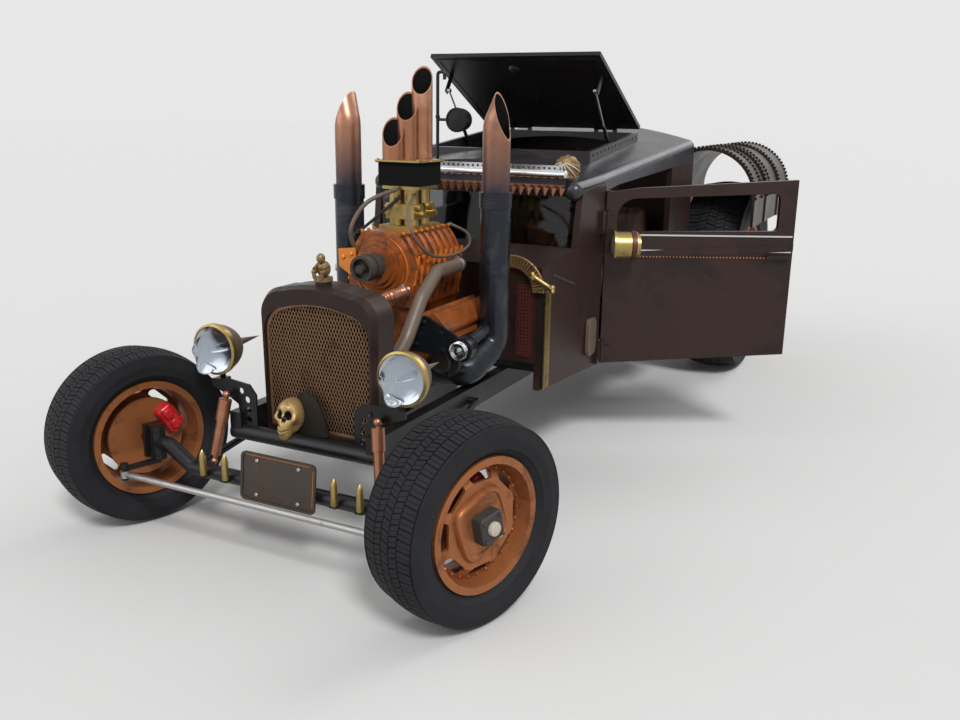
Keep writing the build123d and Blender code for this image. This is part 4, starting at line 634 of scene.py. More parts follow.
def spaced(path, gap):
    """The same line with its points an even gap apart."""
    result, spare = [path[0]], 0.0
    for a, b in zip(path, path[1:]):
        length = (b - a).length
        place = gap - spare
        while place <= length:
            result.append(a.lerp(b, place / length))
            place += gap
        spare = length - (place - gap)
    return result


def middle_of(node):
    low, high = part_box(node)
    return (Vector(low) + Vector(high)) / 2


def joint_named(name):
    return next(joint for joint in frame["joints"] if joint["name"] == name)


def wheel_place(corner):
    """Where a wheel stands: its axis along local +X, pointing out of the car."""
    joint = joint_named("roll_" + corner)
    axis = Vector(joint["axis"])
    if corner.endswith("right"):
        axis = -axis
    up = Vector((0, 0, 1))
    return frame_from(axis, up.cross(axis), up, joint["pos_m"])


def wheel_body(corner):
    axle, side = corner.split("_")
    return axle + "_wheel_" + side


# Tyres

tyre_table = {
    # kind: radius, half width, rim radius, crown drop, groove depth, pitches
    "front": (0.336, 0.111, 0.221, 0.007, 0.0065, 62),
    "rear": (0.580, 0.170, 0.335, 0.014, 0.010, 64),
}
tread_ribs = (
    # from, to (share of the half width), slant, shift round the tyre as a share of one pitch
    (-0.88, -0.47, 0.25, 0.0),
    (-0.43, -0.17, -0.9, 0.4),
    (-0.13, 0.13, 0.9, 0.1),
    (0.17, 0.43, -0.9, 0.6),
    (0.47, 0.88, 0.25, 0.3),
)
slit_steps = (
    # share of one pitch, cut: 0 none, 1 deep, 2 fine
    (0.0, 0), (0.02, 1), (0.13, 1), (0.15, 0), (0.56, 0), (0.575, 2), (0.605, 2), (0.62, 0),
)
cut_share = {(1, "rib"): 0.8, (1, "groove"): 0.8, (1, "edge"): 0.35, (2, "rib"): 0.35}
flat_share = 0.62
shoulder_fall = 0.16
groove_lip = 0.0004
rib_steps = 5
tread_crisp = 28.0


def tyre_columns(radius, half, rim_radius, drop):
    """The tyre across its width: x, radius, part, slant and shift of each column."""
    flat = half * flat_share

    def crown(x):
        if abs(x) < flat:
            return radius - drop * (x / flat) ** 2
        return radius - drop - (abs(x) - flat) * shoulder_fall

    wall = (
        # in from the side, radius
        (0.034, rim_radius - 0.014), (0.030, rim_radius + 0.002), (0.024, rim_radius + 0.009),
        (0.012, rim_radius + 0.022), (0.010, rim_radius + 0.024), (0.006, rim_radius + 0.026),
        (0.003, (rim_radius * 1.3 + radius) / 2.3), (0.0, (rim_radius + radius) / 2),
        (0.001, (rim_radius + radius * 1.4) / 2.4), (0.005, radius * 0.85 + rim_radius * 0.15),
        (0.0035, radius * 0.865 + rim_radius * 0.135), (0.006, radius * 0.90 + rim_radius * 0.10),
    )
    side = [(half - inset, r, "wall", 0.0, 0.0) for inset, r in wall]
    side.append((half - 0.011, crown(half * 0.9) - 0.010, "edge", 0.0, 0.0))
    columns = [(-x, *rest) for x, *rest in side]
    for start, end, slant, shift in tread_ribs:
        first, last = start * half, end * half
        columns.append((first - groove_lip, crown(first), "groove", slant * start, shift))
        for index in range(rib_steps + 1):
            x = first + (last - first) * index / rib_steps
            columns.append((x, crown(x), "rib", slant * x / half, shift))
        columns.append((last + groove_lip, crown(last), "groove", slant * end, shift))
    return columns + side[::-1]


def make_tyre(corner):
    radius, half, rim_radius, drop, depth, pitches = tyre_table[corner.split("_")[0]]
    columns = tyre_columns(radius, half, rim_radius, drop)
    outer = tread_ribs[0][2] * tread_ribs[0][0]
    verts = []
    for turn in range(pitches):
        for share, cut in slit_steps:
            for x, r, part, slant, shift in columns:
                if part in ("wall", "edge"):
                    slant = outer if x < 0 else -outer
                    shift = tread_ribs[0][3] if x < 0 else tread_ribs[-1][3]
                if part == "groove" and abs(x) < half * 0.86:
                    r -= depth
                else:
                    r -= depth * cut_share.get((cut, part), 0.0)
                angle = (turn + share + slant + shift) * (2 * pi / pitches)
                verts.append((x, r * cos(angle), r * sin(angle)))
    place = wheel_place(corner)
    build = Build()
    faces = quads(pitches * len(slit_steps), len(columns), round_rings=True, round_points=False)
    build.add(verts, faces, place)
    tyre = build.piece("tread_" + corner, "tyre", "tyre_black", wheel_body(corner), "tyre_" + corner,
                       tread_crisp)
    hub = place.translation
    # The outward faces of the tread crown take the tread finish: painted sunlight on the tread.
    second_finish(tyre, "tread", lambda face: (face.center - hub).length > radius - drop
                  and face.normal.dot((face.center - hub).normalized()) > 0.7)


# Grille: diamonds of expanded metal in a flat frame

mesh_y = 0.213
mesh_half = 0.228
mesh_bottom = 0.412
mesh_shoulder = 0.835
mesh_top = 0.890
mesh_rim = 0.008
diamond_wide = 0.0132
diamond_tall = 0.030
strand_wide = 0.0017
strand_deep = 0.0024
strand_offset = 0.0006
strand_twist = 0.25
edge_half_deep = 0.002


def grille_outline(half, bottom, shoulder, top):
    """The front view of the grille as (x, z) points."""
    low, bend = half - 0.006, half * 0.62
    crown = shoulder + (top - shoulder) * 0.62
    right = arc_points((half, shoulder - 0.070), (half - 0.022, shoulder), (bend, crown), 10)
    over = arc_points((bend, crown), (0.0, top), (-bend, crown), 20)
    left = [(-x, z) for x, z in reversed(right)]
    return [(-low, bottom), (low, bottom)] + right + over[1:-1] + left


def clip_line(outline, point, slope):
    """Where a slanted line enters and leaves a convex outline."""
    hits = []
    for (ax, az), (bx, bz) in zip(outline, outline[1:] + outline[:1]):
        a = (az - point[1]) - slope * (ax - point[0])
        b = (bz - point[1]) - slope * (bx - point[0])
        if (a < 0) != (b < 0):
            t = a / (a - b)
            hits.append((ax + (bx - ax) * t, az + (bz - az) * t))
    hits.sort()
    return [hits[0], hits[-1]] if len(hits) >= 2 else []


def make_grille_mesh():
    build = Build()
    inner = grille_outline(mesh_half - mesh_rim, mesh_bottom + mesh_rim, mesh_shoulder - mesh_rim,
                           mesh_top - mesh_rim)
    outer = grille_outline(mesh_half, mesh_bottom, mesh_shoulder, mesh_top)
    slope = diamond_tall / diamond_wide
    reach = ceil(((mesh_top - mesh_bottom) / slope + 2 * mesh_half) / diamond_wide)
    for family in (-1, 1):
        y = mesh_y + strand_offset * family
        for index in range(-reach, reach + 1):
            ends = clip_line(inner, (index * diamond_wide, mesh_bottom), family * slope)
            if ends:
                start, end = (car(x, y, z) for x, z in ends)
                build.bar(start, end, strand_wide, strand_deep, (0.0, 1.0, strand_twist * family))
    verts = [car(x, mesh_y + y, z) for y in (-edge_half_deep, edge_half_deep) for line in (outer, inner)
             for x, z in line]
    build.add(verts, pierced(len(outer)))
    build.piece("mesh_sheet", "mesh", "shell_brown", stands_for="grille_mesh", crisp=None)


# Skulls: a star-shaped form whose radius is raised and sunk by smooth bumps

skull_base = 0.80
fine_bump = 0.35
skull_crisp = 80.0
skull_bumps = (
    # direction (side, forward, up), height, width; the side ones come in pairs
    ((0.0, 0.9, 0.55), 0.20, 0.80),
    ((0.0, -0.75, 0.85), 0.08, 0.50),
    ((0.42, -0.84, 0.62), 0.06, 0.20),
    ((0.40, -0.90, 0.27), -0.36, 0.27),
    ((0.72, -0.66, 0.02), 0.13, 0.22),
    ((0.74, -0.40, -0.52), -0.16, 0.34),
    ((0.10, -0.98, -0.06), -0.22, 0.12),
    ((0.0, -0.99, 0.22), 0.12, 0.10),
    ((0.0, -0.86, -0.48), 0.16, 0.30),
    ((0.0, -0.66, -0.95), 0.26, 0.42),
    ((0.26, -0.70, -0.82), 0.20, 0.26),
)
skull_shade_hollows = (
    # direction, reach of the painted shade inside the eye and nose hollows
    ((0.40, -0.90, 0.27), 0.31),
    ((0.10, -0.98, -0.06), 0.13),
)
tooth_profile = ((0.0, -0.058), (0.038, -0.05), (0.048, 0.0), (0.038, 0.05), (0.0, 0.058))
tooth_rows = (-0.42, -0.56)
hood_rings, hood_steps = 14, 28
hood_half, hood_foot, hood_height = 0.078, 0.412, 0.160
skull_size = (0.064, 0.064, 0.078, 1.0)
skull_rings, skull_steps = 84, 120
tooth_pitch = 0.10
tooth_out = 0.035


def skull_radius(direction, relief=1.0):
    """How far the skull reaches in one direction; relief flattens the finer bumps."""
    radius = skull_base
    for (x, y, z), height, width in skull_bumps:
        for side in ((1, -1) if x else (1,)):
            bump = Vector((x * side, y, z)).normalized()
            share = relief if width < fine_bump else 1.0
            radius += height * share * exp(-((direction - bump).length / width) ** 2)
    return radius


def add_skull(build, place, rings, steps, relief=1.0, front_only=False):
    """Rings of the skull from crown to chin; a mask has its back flat on the lamp's ring."""
    verts = []
    for ring in range(rings + 1):
        fall = pi * ring / rings
        for step in range(steps):
            turn = 2 * pi * step / steps
            direction = Vector((sin(fall) * sin(turn), -sin(fall) * cos(turn), cos(fall)))
            point = direction * skull_radius(direction, relief)
            if front_only:
                point.y = min(point.y, 0.0)
            verts.append(point)
    build.add(verts, quads(rings + 1, steps, flip=True), place)


def make_skull_ornament():
    place = at(-0.078, 0.138, 0.482) @ rotation(3, "Z") @ Matrix.Diagonal(skull_size)
    build = Build()
    add_skull(build, place, skull_rings, skull_steps)
    for rise in tooth_rows:
        for index in range(-3, 4):
            toward = Vector((index * tooth_pitch, -0.86, rise)).normalized()
            root = toward * (skull_radius(toward) + tooth_out)
            build.lathe(tooth_profile, 8, place @ Matrix.Translation(root))
    thing = build.piece("golden_skull", "skull", "bone_gold", stands_for="skull_ornament", crisp=skull_crisp)
    inside = place.inverted()
    hollows = [(Vector((side * x, y, z)).normalized(), reach) for (x, y, z), reach in skull_shade_hollows
               for side in (-1, 1)]

    def dark(face):
        direction = (inside @ face.center).normalized()
        return any((direction - hollow).length < reach for hollow, reach in hollows)

    # The eye and nose hollows take the flat black finish named soot: painted shade, not soot.
    second_finish(thing, "soot", dark)


def make_skull_shade_hood():
    """A dark pointed arch behind the skull: painted shade, a black sheet where the shade behind the skull
    falls.
    """
    verts = []
    for ring in range(hood_rings):
        share = ring / (hood_rings - 1)
        width = hood_half * (1 - share ** 2) ** 0.5
        for step in range(hood_steps):
            turn = 2 * pi * step / hood_steps
            verts.append(car(-0.018 + width * cos(turn) - 0.020 * share, 0.182 + 0.38 * width * sin(turn),
                             hood_foot + hood_height * share))
    shade_hood = Build()
    shade_hood.add(verts, quads(hood_rings, hood_steps))
    shade_hood.piece("skull_shade_hood", "shade_hood", "plate_dark")


# Headlamps: a clear skull mask over a bright bowl, for each side

lamp_side, lamp_y, lamp_z = 0.407, 0.120, 0.694
mask_size = (0.089, 0.090, 0.086, 1.0)
mask_relief = 0.45
mask_rings, mask_steps = 60, 90
bowl_radius = 0.087
bowl_steps = 8
bulb_profile = ((0.013, -0.008), (0.013, 0.006), (0.011, 0.018), (0.006, 0.026), (0.0, 0.028))


def make_headlamps():
    masks, bowls, bulbs = Build(), Build(), Build()
    bowl_profile = [(bowl_radius * (1 - share * 0.86), 0.004 - 0.012 * (1 - (1 - share) ** 2))
                    for share in (index / bowl_steps for index in range(bowl_steps + 1))]
    bowl_profile.append((0.0, -0.0085))
    for x in (lamp_side, -lamp_side):
        mask_place = at(x, lamp_y - 0.004, lamp_z) @ Matrix.Diagonal(mask_size)
        add_skull(masks, mask_place, mask_rings, mask_steps, mask_relief, front_only=True)
        ahead = facing(x, lamp_y, lamp_z)
        bowls.lathe(bowl_profile, 64, ahead)
        bulbs.lathe(bulb_profile, 20, ahead)
    masks.piece("lamp_masks", "lens", "lens_glass", stands_for="headlamp_lenses", crisp=skull_crisp)
    bowls.piece("lamp_bowls", "reflector", "polished")
    bulbs.piece("lamp_bulbs", "lens", "lens_glass")


# Wheels: raised boss, dark hub block, brass cap and a ring of bolts

wheel_table = {
    # kind: disc offset, boss half, block half, bolt circle, bolt seat, bolts, bolt radius
    "front": (0.028, 0.106, 0.047, 0.1765, 0.0475, 28, 0.0046),
    "rear": (-0.020, 0.160, 0.060, 0.286, 0.000, 36, 0.0060),
}
# Out from the disc, and share of the half size
boss_rings = ((0.018, 1.0), (0.042, 0.98), (0.050, 0.93), (0.052, 0.84), (0.046, 0.80))
block_rings = ((0.040, 1.0), (0.084, 1.0), (0.089, 0.92))
block_turn = 0.2
block_power = 9.0
boss_turn = 0.35
boss_power = 4.5


def make_wheel_face(corner):
    offset, boss, block, circle, seat, bolts, size = wheel_table[corner.split("_")[0]]
    place = wheel_place(corner)
    body = wheel_body(corner)
    along_x = rotation(90, "Y")
    face = Build()
    face.soft_square([(offset + out, boss * share) for out, share in boss_rings], boss_power, boss_turn,
                     place)
    for index in range(bolts):
        turn = Matrix.Rotation(2 * pi * index / bolts, 4, "X")
        face.bolt(place @ turn @ shifted(seat, 0, circle) @ along_x, size, 0.005)
    face.piece("wheel_face_" + corner, "wheel", "wheel_orange", body)
    hub = Build()
    hub.soft_square([(offset + out, block * share) for out, share in block_rings], block_power, block_turn,
                    place, 32)
    for index in range(4):
        turn = Matrix.Rotation(2 * pi * (index + 0.5) / 4 + block_turn, 4, "X")
        hub.bolt(place @ turn @ shifted(offset + 0.088, 0, block * 1.02) @ along_x, 0.008, 0.007)
    hub.piece("hub_block_" + corner, "cast", "cast_grey", body)
    radius = block * 0.5
    cap = Build()
    cap.lathe(((radius, 0.0), (radius, 0.010), (radius * 0.9, 0.014), (radius * 0.6, 0.0155), (0.0, 0.016)),
              28, place @ shifted(offset + 0.087, 0, 0) @ along_x)
    cap.piece("hub_cap_" + corner, "pale", "brass_trim", body)


# Brake calipers: a rounded casting with two piston domes, bolts and a bleed nipple

caliper_half = Vector((0.031, 0.034, 0.058))
caliper_edge = 0.016
piston_profile = ((0.021, -0.004), (0.021, 0.006), (0.017, 0.011), (0.0, 0.013))


def pad_block(low, high, radius):
    """A closed block with well-rounded edges."""
    form = bmesh.new()
    bmesh.ops.create_cube(form, size=1.0)
    size = Vector(high) - Vector(low)
    middle = (Vector(high) + Vector(low)) / 2
    for vert in form.verts:
        vert.co = vert.co * size + middle
    bmesh.ops.bevel(form, geom=form.edges[:], offset=radius, segments=5, affect="EDGES", profile=0.5)
    return form


def make_caliper(side):
    place = wheel_place("front_" + side)
    middle = place.inverted() @ middle_of("caliper_" + side)
    turn = Matrix.Rotation(atan2(middle.z, middle.y), 4, "X")
    seat = place @ turn @ shifted(middle.x, hypot(middle.y, middle.z), 0)
    build = Build()
    form = pad_block(-caliper_half, caliper_half, caliper_edge)
    form.verts.index_update()
    build.add([v.co.copy() for v in form.verts], [tuple(v.index for v in f.verts) for f in form.faces], seat)
    form.free()
    inward = rotation(-90, "Y")
    for along in (-0.026, 0.026):
        build.lathe(piston_profile, 28, seat @ shifted(-0.030, 0.0, along) @ inward)
    for along in (-0.050, 0.050):
        build.bolt(seat @ shifted(-0.028, -0.016, along) @ inward, 0.0065, 0.008)
    build.bolt(seat @ shifted(0.0, 0.033, 0.040) @ rotation(-90, "X"), 0.006, 0.014)
    build.piece("caliper_casting_" + side, "red", "caliper_red", "knuckle_" + side, "caliper_" + side)


# Hoses and cables

side_hose = ((0.170, 0.315, 0.600), (0.170, 0.400, 0.600), (0.205, 0.492, 0.734), (0.205, 0.600, 0.870),
             (0.205, 0.720, 0.955), (0.205, 0.930, 0.955), (0.145, 0.930, 0.955))
front_hose = ((0.070, 0.320, 0.850), (0.070, 0.420, 0.850), (0.115, 0.520, 0.880), (0.115, 0.640, 0.880))
cable_loop = ((0.060, 0.800, 1.238), (0.125, 0.640, 1.195), (0.168, 0.600, 1.110), (0.176, 0.690, 1.032),
              (0.178, 0.800, 1.000), (0.178, 0.950, 0.996), (0.172, 1.060, 1.020), (0.140, 1.095, 1.062),
              (0.080, 1.040, 1.105))
breather = ((0.001, 0.765, 1.262), (-0.060, 0.640, 1.215), (-0.100, 0.590, 1.128), (-0.105, 0.600, 1.060),
            (-0.090, 0.640, 1.000))
hose_table = (
    # name, route, corner radius or None for a free curve, tube radius, ribs per metre, rib height,
    # finish, node
    ("side_hose", side_hose, 0.050, 0.0275, 0, 0.0, "hose", "engine_hoses"),
    ("front_hose", front_hose, 0.040, 0.0230, 95, 0.0016, "copper", None),
    ("cable_loop", cable_loop, None, 0.0065, 0, 0.0, "hose", None),
    ("breather_hose", breather, None, 0.0085, 0, 0.0, "hose", None),
)
ribbed_gap = 0.0026
plain_gap = 0.008
clamp_table = (
    # x, y, z, radius
    (0.170, 0.345, 0.600, 0.029),
    (0.205, 0.900, 0.955, 0.029),
    (0.115, 0.610, 0.880, 0.026),
    (0.070, 0.350, 0.850, 0.026),
)


def make_hoses():
    for name, route, corner, radius, ribs, height, finish, node in hose_table:
        places = [car(*place) for place in route]
        path = bent(places, corner) if corner else smooth_path(places, 12)
        path = spaced(path, ribbed_gap if ribs else plain_gap)
        length = ribbed_gap * len(path)

        def ribbed(share):
            return radius + height * sin(2 * pi * ribs * share * length)

        build = Build()
        build.tube(path, ribbed if ribs else radius, 20)
        build.piece(name, finish, "copper", stands_for=node)


def make_clamps():
    clamps = Build()
    backwards = Vector((0, 1, 0)).to_track_quat("Z", "Y").to_matrix().to_4x4()
    for x, y, z, radius in clamp_table:
        band = ((radius - 0.003, -0.007), (radius, -0.006), (radius, 0.006), (radius - 0.003, 0.007))
        clamps.lathe(band, 28, at(x, y, z) @ backwards)
        clamps.bolt(at(x, y, z + radius - 0.001), 0.005, 0.008)
    clamps.piece("hose_clamps", "steel", "polished")


# Engine: small parts

snout_profile = ((0.050, -0.004), (0.052, 0.002), (0.050, 0.008), (0.041, 0.010), (0.039, 0.002),
                 (0.020, 0.001), (0.019, 0.012), (0.011, 0.015), (0.0, 0.015))
step_rings = ((0.088, 0.632), (0.108, 0.636), (0.126, 0.640))
fins = 9
bracket_outline = ((-0.175, 1.030), (-0.095, 1.040), (-0.090, 0.955), (-0.120, 0.930), (-0.172, 0.962))
drive_outline = ((0.120, 0.760), (0.215, 0.800), (0.330, 0.745), (0.410, 0.705), (0.402, 0.655),
                 (0.300, 0.650), (0.120, 0.660))
drive_bolts = ((0.150, 0.740), (0.215, 0.775), (0.290, 0.740), (0.180, 0.685), (0.300, 0.675))
alternator_profile = ((0.0, -0.060), (0.044, -0.060), (0.047, -0.052), (0.047, 0.0), (0.0, 0.0))
pulley_profile = ((0.008, 0.0), (0.030, 0.0), (0.036, 0.004), (0.036, 0.007), (0.027, 0.013), (0.036, 0.019),
                  (0.036, 0.022), (0.031, 0.025), (0.014, 0.022), (0.012, 0.031), (0.0, 0.032))
rod_ends = (((-0.150, 0.690, 1.078), (-0.020, 0.790, 1.215)), ((-0.120, 0.670, 1.095), (0.010, 0.770, 1.228)))
rod_ball = ((0.0, -0.010), (0.008, -0.008), (0.0105, 0.0), (0.008, 0.008), (0.0, 0.010))
air_box_y = 0.862
air_box_rims = (
    # half size, bottom, top, squareness
    (0.1065, 1.3655, 1.3720, 14.0),
    (0.080, 1.262, 1.2735, 10.0),
)


def make_blower_parts():
    snout = Build()
    snout.lathe(snout_profile, 44, facing(0.0, 0.541, 0.978))
    snout.piece("snout_face", "black", "cast_grey")
    steps = Build()
    for radius, y in step_rings:
        steps.lathe(((radius - 0.007, 0.0), (radius - 0.006, 0.009), (radius, 0.010), (radius + 0.002, 0.004),
                     (radius + 0.003, -0.012)), 72, facing(0.0, y, 0.962))
    for index in range(fins):
        y = 0.655 + index * 0.045
        for side in (-1, 1):
            x = side * 0.1495
            steps.bolt(at(side * 0.095, y, 1.098), 0.0075, 0.009)
            steps.bar(car(x, y - 0.016, 0.905), car(x, y + 0.022, 1.015), 0.008, 0.012, (side, 0, 0))
    # The rings, bolts and fins take the brighter orange: painted highlight on the blower's ridges.
    steps.piece("blower_steps", "lit_orange_paint", "orange_rust")


def make_front_bracket():
    bracket = Build()
    bracket.plate(bracket_outline, 0.600, 0.608)
    bracket.bar(car(-0.120, 0.604, 0.985), car(-0.120, 0.660, 0.985), 0.030, 0.020, (1, 0, 0))
    for x, z in ((-0.150, 1.000), (-0.112, 1.014)):
        bracket.bolt(facing(x, 0.600, z), 0.009, 0.008)
    # The bracket takes the brighter orange: painted highlight.
    bracket.piece("front_bracket", "lit_orange_paint", "orange_rust")


def make_alternator():
    drive = Build()
    drive.plate(drive_outline, 0.606, 0.618)
    for x, z in drive_bolts:
        drive.bolt(facing(x, 0.606, z), 0.009, 0.008)
    drive.lathe(alternator_profile, 32, facing(0.372, 0.612, 0.682))
    drive.piece("alternator", "stack", "cast_grey")
    pulley = Build()
    pulley.lathe(pulley_profile, 40, facing(0.372, 0.606, 0.682))
    pulley.piece("alternator_pulley", "polished", "polished")


def make_throttle_rods():
    rods = Build()
    for start, end in rod_ends:
        rods.tube([car(*start), car(*end)], 0.006, 12)
        for place in (start, end):
            rods.lathe(rod_ball, 14, at(*place))
    rods.piece("throttle_rods", "black", "cast_grey")


def make_air_box_trim():
    trim = Build()
    steps = 64
    for half, low, high, power in air_box_rims:
        rim = rounded_square(half, power, 0.0, steps)
        verts = [car(x, air_box_y + y, z) for z in (low, high) for x, y in rim]
        trim.add(verts, quads(2, steps) + caps(2, steps))
    for x in (-0.092, 0.092):
        for y in (-0.092, 0.092):
            trim.bolt(at(x, air_box_y + y, 1.3718), 0.006, 0.005)
    trim.piece("air_box_trim", "brass", "brass_trim")


# Black linings inside the slanted mouths of the stacks

intake_table = ((-0.040, 0.800, 1.490), (-0.014, 0.868, 1.590), (0.022, 0.925, 1.690))
intake_slant, intake_spin, tip_slant = radians(54), radians(20), radians(70)
intake_bore, tip_bore = 0.0372, 0.0498


def lining(name, path, radius, point, normal):
    """A dark tube inside a stack, cut off along the stack's own mouth."""
    build = Build()
    build.tube(spaced(path, 0.006), radius, 40)
    thing = build.piece(name, "soot", "cast_grey")
    form = bmesh.new()
    form.from_mesh(thing.data)
    everything = form.verts[:] + form.edges[:] + form.faces[:]
    bmesh.ops.bisect_plane(form, geom=everything, plane_co=point, plane_no=normal, clear_outer=True)
    form.to_mesh(thing.data)
    form.free()


def make_linings():
    normal = Vector((sin(intake_slant) * sin(intake_spin), -sin(intake_slant) * cos(intake_spin),
                     cos(intake_slant)))
    for index, (x, y, top) in enumerate(intake_table):
        path = [car(x, y, top - 0.115), car(x, y, top + 0.050)]
        lining("intake_lining_" + str(index), path, intake_bore, car(x, y, top - 0.0135), normal)
    for side, name in ((1, "left"), (-1, "right")):
        x = 0.350 * side
        path = bent([car(x, 0.940, 1.330), car(x, 0.940, 1.510), car(0.410 * side, 0.980, 1.680)], 0.090)
        lining("tip_lining_" + name, path, tip_bore, car(x, 0.940, 1.5985),
               Vector((side * sin(tip_slant), 0.0, cos(tip_slant))))


# Visor: polished tube on a dark band with folded copper teeth, and a punched strip on top

visor_half = 0.462
visor_y = 1.398
visor_z = 1.300
visor_cap = ((0.0185, -0.010), (0.0185, 0.002), (0.014, 0.008), (0.0, 0.010))
teeth_count = 24
tooth_y = 1.402
tooth_top, tooth_fold, tooth_tip = 1.256, 1.240, 1.205
tooth_faces = ((0, 2, 3), (3, 2, 1), (0, 3, 1), (4, 5, 6), (0, 4, 6, 2), (1, 2, 6, 5), (7, 9, 10), (7, 8, 9),
               (7, 10, 0), (10, 9, 0))


def make_visor():
    tube = Build()
    left_end = car(visor_half, visor_y, visor_z)
    tube.tube(spaced([car(-visor_half, visor_y, visor_z), left_end], 0.03) + [left_end], 0.017, 28)
    for side in (-1, 1):
        tube.lathe(visor_cap, 28, at(side * visor_half, visor_y, visor_z) @ rotation(90 * side, "Y"))
    tube.perforated(facing(-0.4500, visor_y + 0.001, visor_z + 0.014), 36, 1, 0.025, 0.0055)
    tube.piece("visor_tube", "polished", "polished", stands_for="visor")
    band = Build()
    band.bar(car(-visor_half, 1.405, 1.266), car(visor_half, 1.405, 1.266), 0.056, 0.006, (0, 1, 0))
    band.bar(car(-0.440, 1.420, visor_z), car(0.440, 1.420, visor_z), 0.012, 0.044, (0, 1, 0))
    # The band takes the roof finish, whose blue-grey is painted sheen.
    band.piece("visor_band", "roof", "body_brown")


def make_visor_teeth():
    teeth = Build()
    pitch = 2 * visor_half / teeth_count
    y, top, fold, tip = tooth_y, tooth_top, tooth_fold, tooth_tip
    for index in range(teeth_count):
        x = -visor_half + index * pitch
        middle, after = x + pitch / 2, x + pitch
        teeth.add([car(x, y, fold), car(after, y, fold), car(middle, y, tip),
                   car(middle, y - 0.014, fold + 0.004), car(x, y + 0.004, fold),
                   car(after, y + 0.004, fold), car(middle, y + 0.004, tip), car(x, y, top),
                   car(after, y, top), car(middle, y, fold + 0.003), car(x, y - 0.008, fold + 0.012)],
                  tooth_faces)
    teeth.piece("visor_teeth", "copper", "copper", crisp=None)


# Roof lamps: ribbed dome with a pale fan, and a black spotlight on its post

dome_radius = 0.0580
dome_rings, dome_steps = 16, 72
dome_reach = 0.60 * pi
dome_foot = ((0.052, -0.060), (0.052, 0.000), (0.047, 0.012), (0.030, 0.016), (0.0, 0.017))
dome_ribs, dome_rib_height = 12, 0.0026
fan_radius = 0.0605
fan_blades = 7
fan_first, fan_pitch = -78, 26
spot_profile = ((0.0, -0.052), (0.030, -0.046), (0.047, -0.026), (0.052, -0.006), (0.052, 0.028),
                (0.0555, 0.032), (0.0555, 0.042), (0.050, 0.044), (0.047, 0.038), (0.0, 0.040))


def make_dome_lamp():
    place = at(0.430, 1.500, 1.322) @ rotation(62, "X")
    verts = []
    for ring in range(dome_rings + 1):
        fall = dome_reach * ring / dome_rings
        for step in range(dome_steps):
            turn = 2 * pi * step / dome_steps
            reach = dome_radius + dome_rib_height * sin(fall) * cos(dome_ribs * turn)
            verts.append((reach * sin(fall) * cos(turn), reach * sin(fall) * sin(turn), reach * cos(fall)))
    dome = Build()
    dome.add(verts, quads(dome_rings + 1, dome_steps, flip=True), place)
    dome.lathe(dome_foot, 48, at(0.430, 1.500, 1.324))
    dome.piece("dome_lamp", "bone", "bone_gold", stands_for="roof_lamps")
    fan = Build()
    for index in range(fan_blades):
        turn = radians(fan_first + fan_pitch * index)
        points = []
        for step in range(12):
            fall = radians(8 + 7.5 * step)
            out, up = fan_radius * sin(fall), fan_radius * cos(fall)
            points.append(place @ Vector((out * sin(turn), -out * cos(turn), up)))
        fan.tube(points, 0.0034, 8)
    fan.piece("dome_fan", "pale", "bone_gold")


def make_spot_lamp():
    spot = Build()
    spot.lathe(spot_profile, 48, facing(-0.110, 1.506, 1.522))
    spot.tube(bent([car(-0.228, 1.500, 1.290), car(-0.228, 1.500, 1.735), car(-0.192, 1.500, 1.735),
                    car(-0.192, 1.500, 1.701)], 0.016), 0.0078, 14)
    spot.tube([car(-0.228, 1.500, 1.522), car(-0.160, 1.500, 1.522)], 0.0068, 12)
    spot.bolt(at(-0.228, 1.500, 1.528), 0.012, 0.014)
    spot.piece("spot_lamp", "black", "cast_grey")


# Cowl, on both sides: punched panel, ribbed arch, brass bone, comb and edge, bolts and step block

cowl_lean = 0.1524
arch_x, arch_y, arch_z = 0.355, 1.109, 0.835
panel_starts = {-1: -0.447, 1: 0.372}
bone_ball = ((0.0, -0.012), (0.009, -0.009), (0.0125, 0.0), (0.009, 0.009), (0.0, 0.012))
comb_fins = 40
arch_inner, arch_outer, arch_rim = 0.095, 0.140, 0.142
arch_ribs, arch_pitch = 15, 6.5
step_block = ((-0.004, 0.046), (0.012, 0.046), (0.016, 0.042))
step_stretch = (1.0, 1.0, 1.9, 1.0)


def cowl_x(base, y):
    """Where the cowl's skin lies, which leans outwards to the rear."""
    return base + (y - 1.12) * cowl_lean


def add_cowl_arch(arch, side):
    def on_arch(radius, degrees):
        turn = radians(degrees)
        return car(side * (arch_x + radius * cos(turn)), arch_y, arch_z + radius * sin(turn))

    for index in range(arch_ribs):
        degrees = 92 - index * arch_pitch
        arch.bar(on_arch(arch_inner, degrees), on_arch(arch_outer, degrees), 0.010, 0.016, (0, 1, 0))
    arch.tube([on_arch(arch_rim, 95 - i * 6) for i in range(17)], 0.005, 10)


def add_cowl_bone(brass, side):
    shares = [i / 20 for i in range(21)]
    bone = [car(side * (0.452 + 0.086 * t), 1.094 + 0.012 * t, 0.903 - 0.050 * t) for t in shares]
    brass.tube(bone, lambda t: 0.0085 + 0.0065 * (abs(2 * t - 1) ** 4), 18)
    for end in (bone[0], bone[-1]):
        for lift in (-0.007, 0.007):
            brass.lathe(bone_ball, 16, Matrix.Translation(end + Vector((0, 0, lift))))


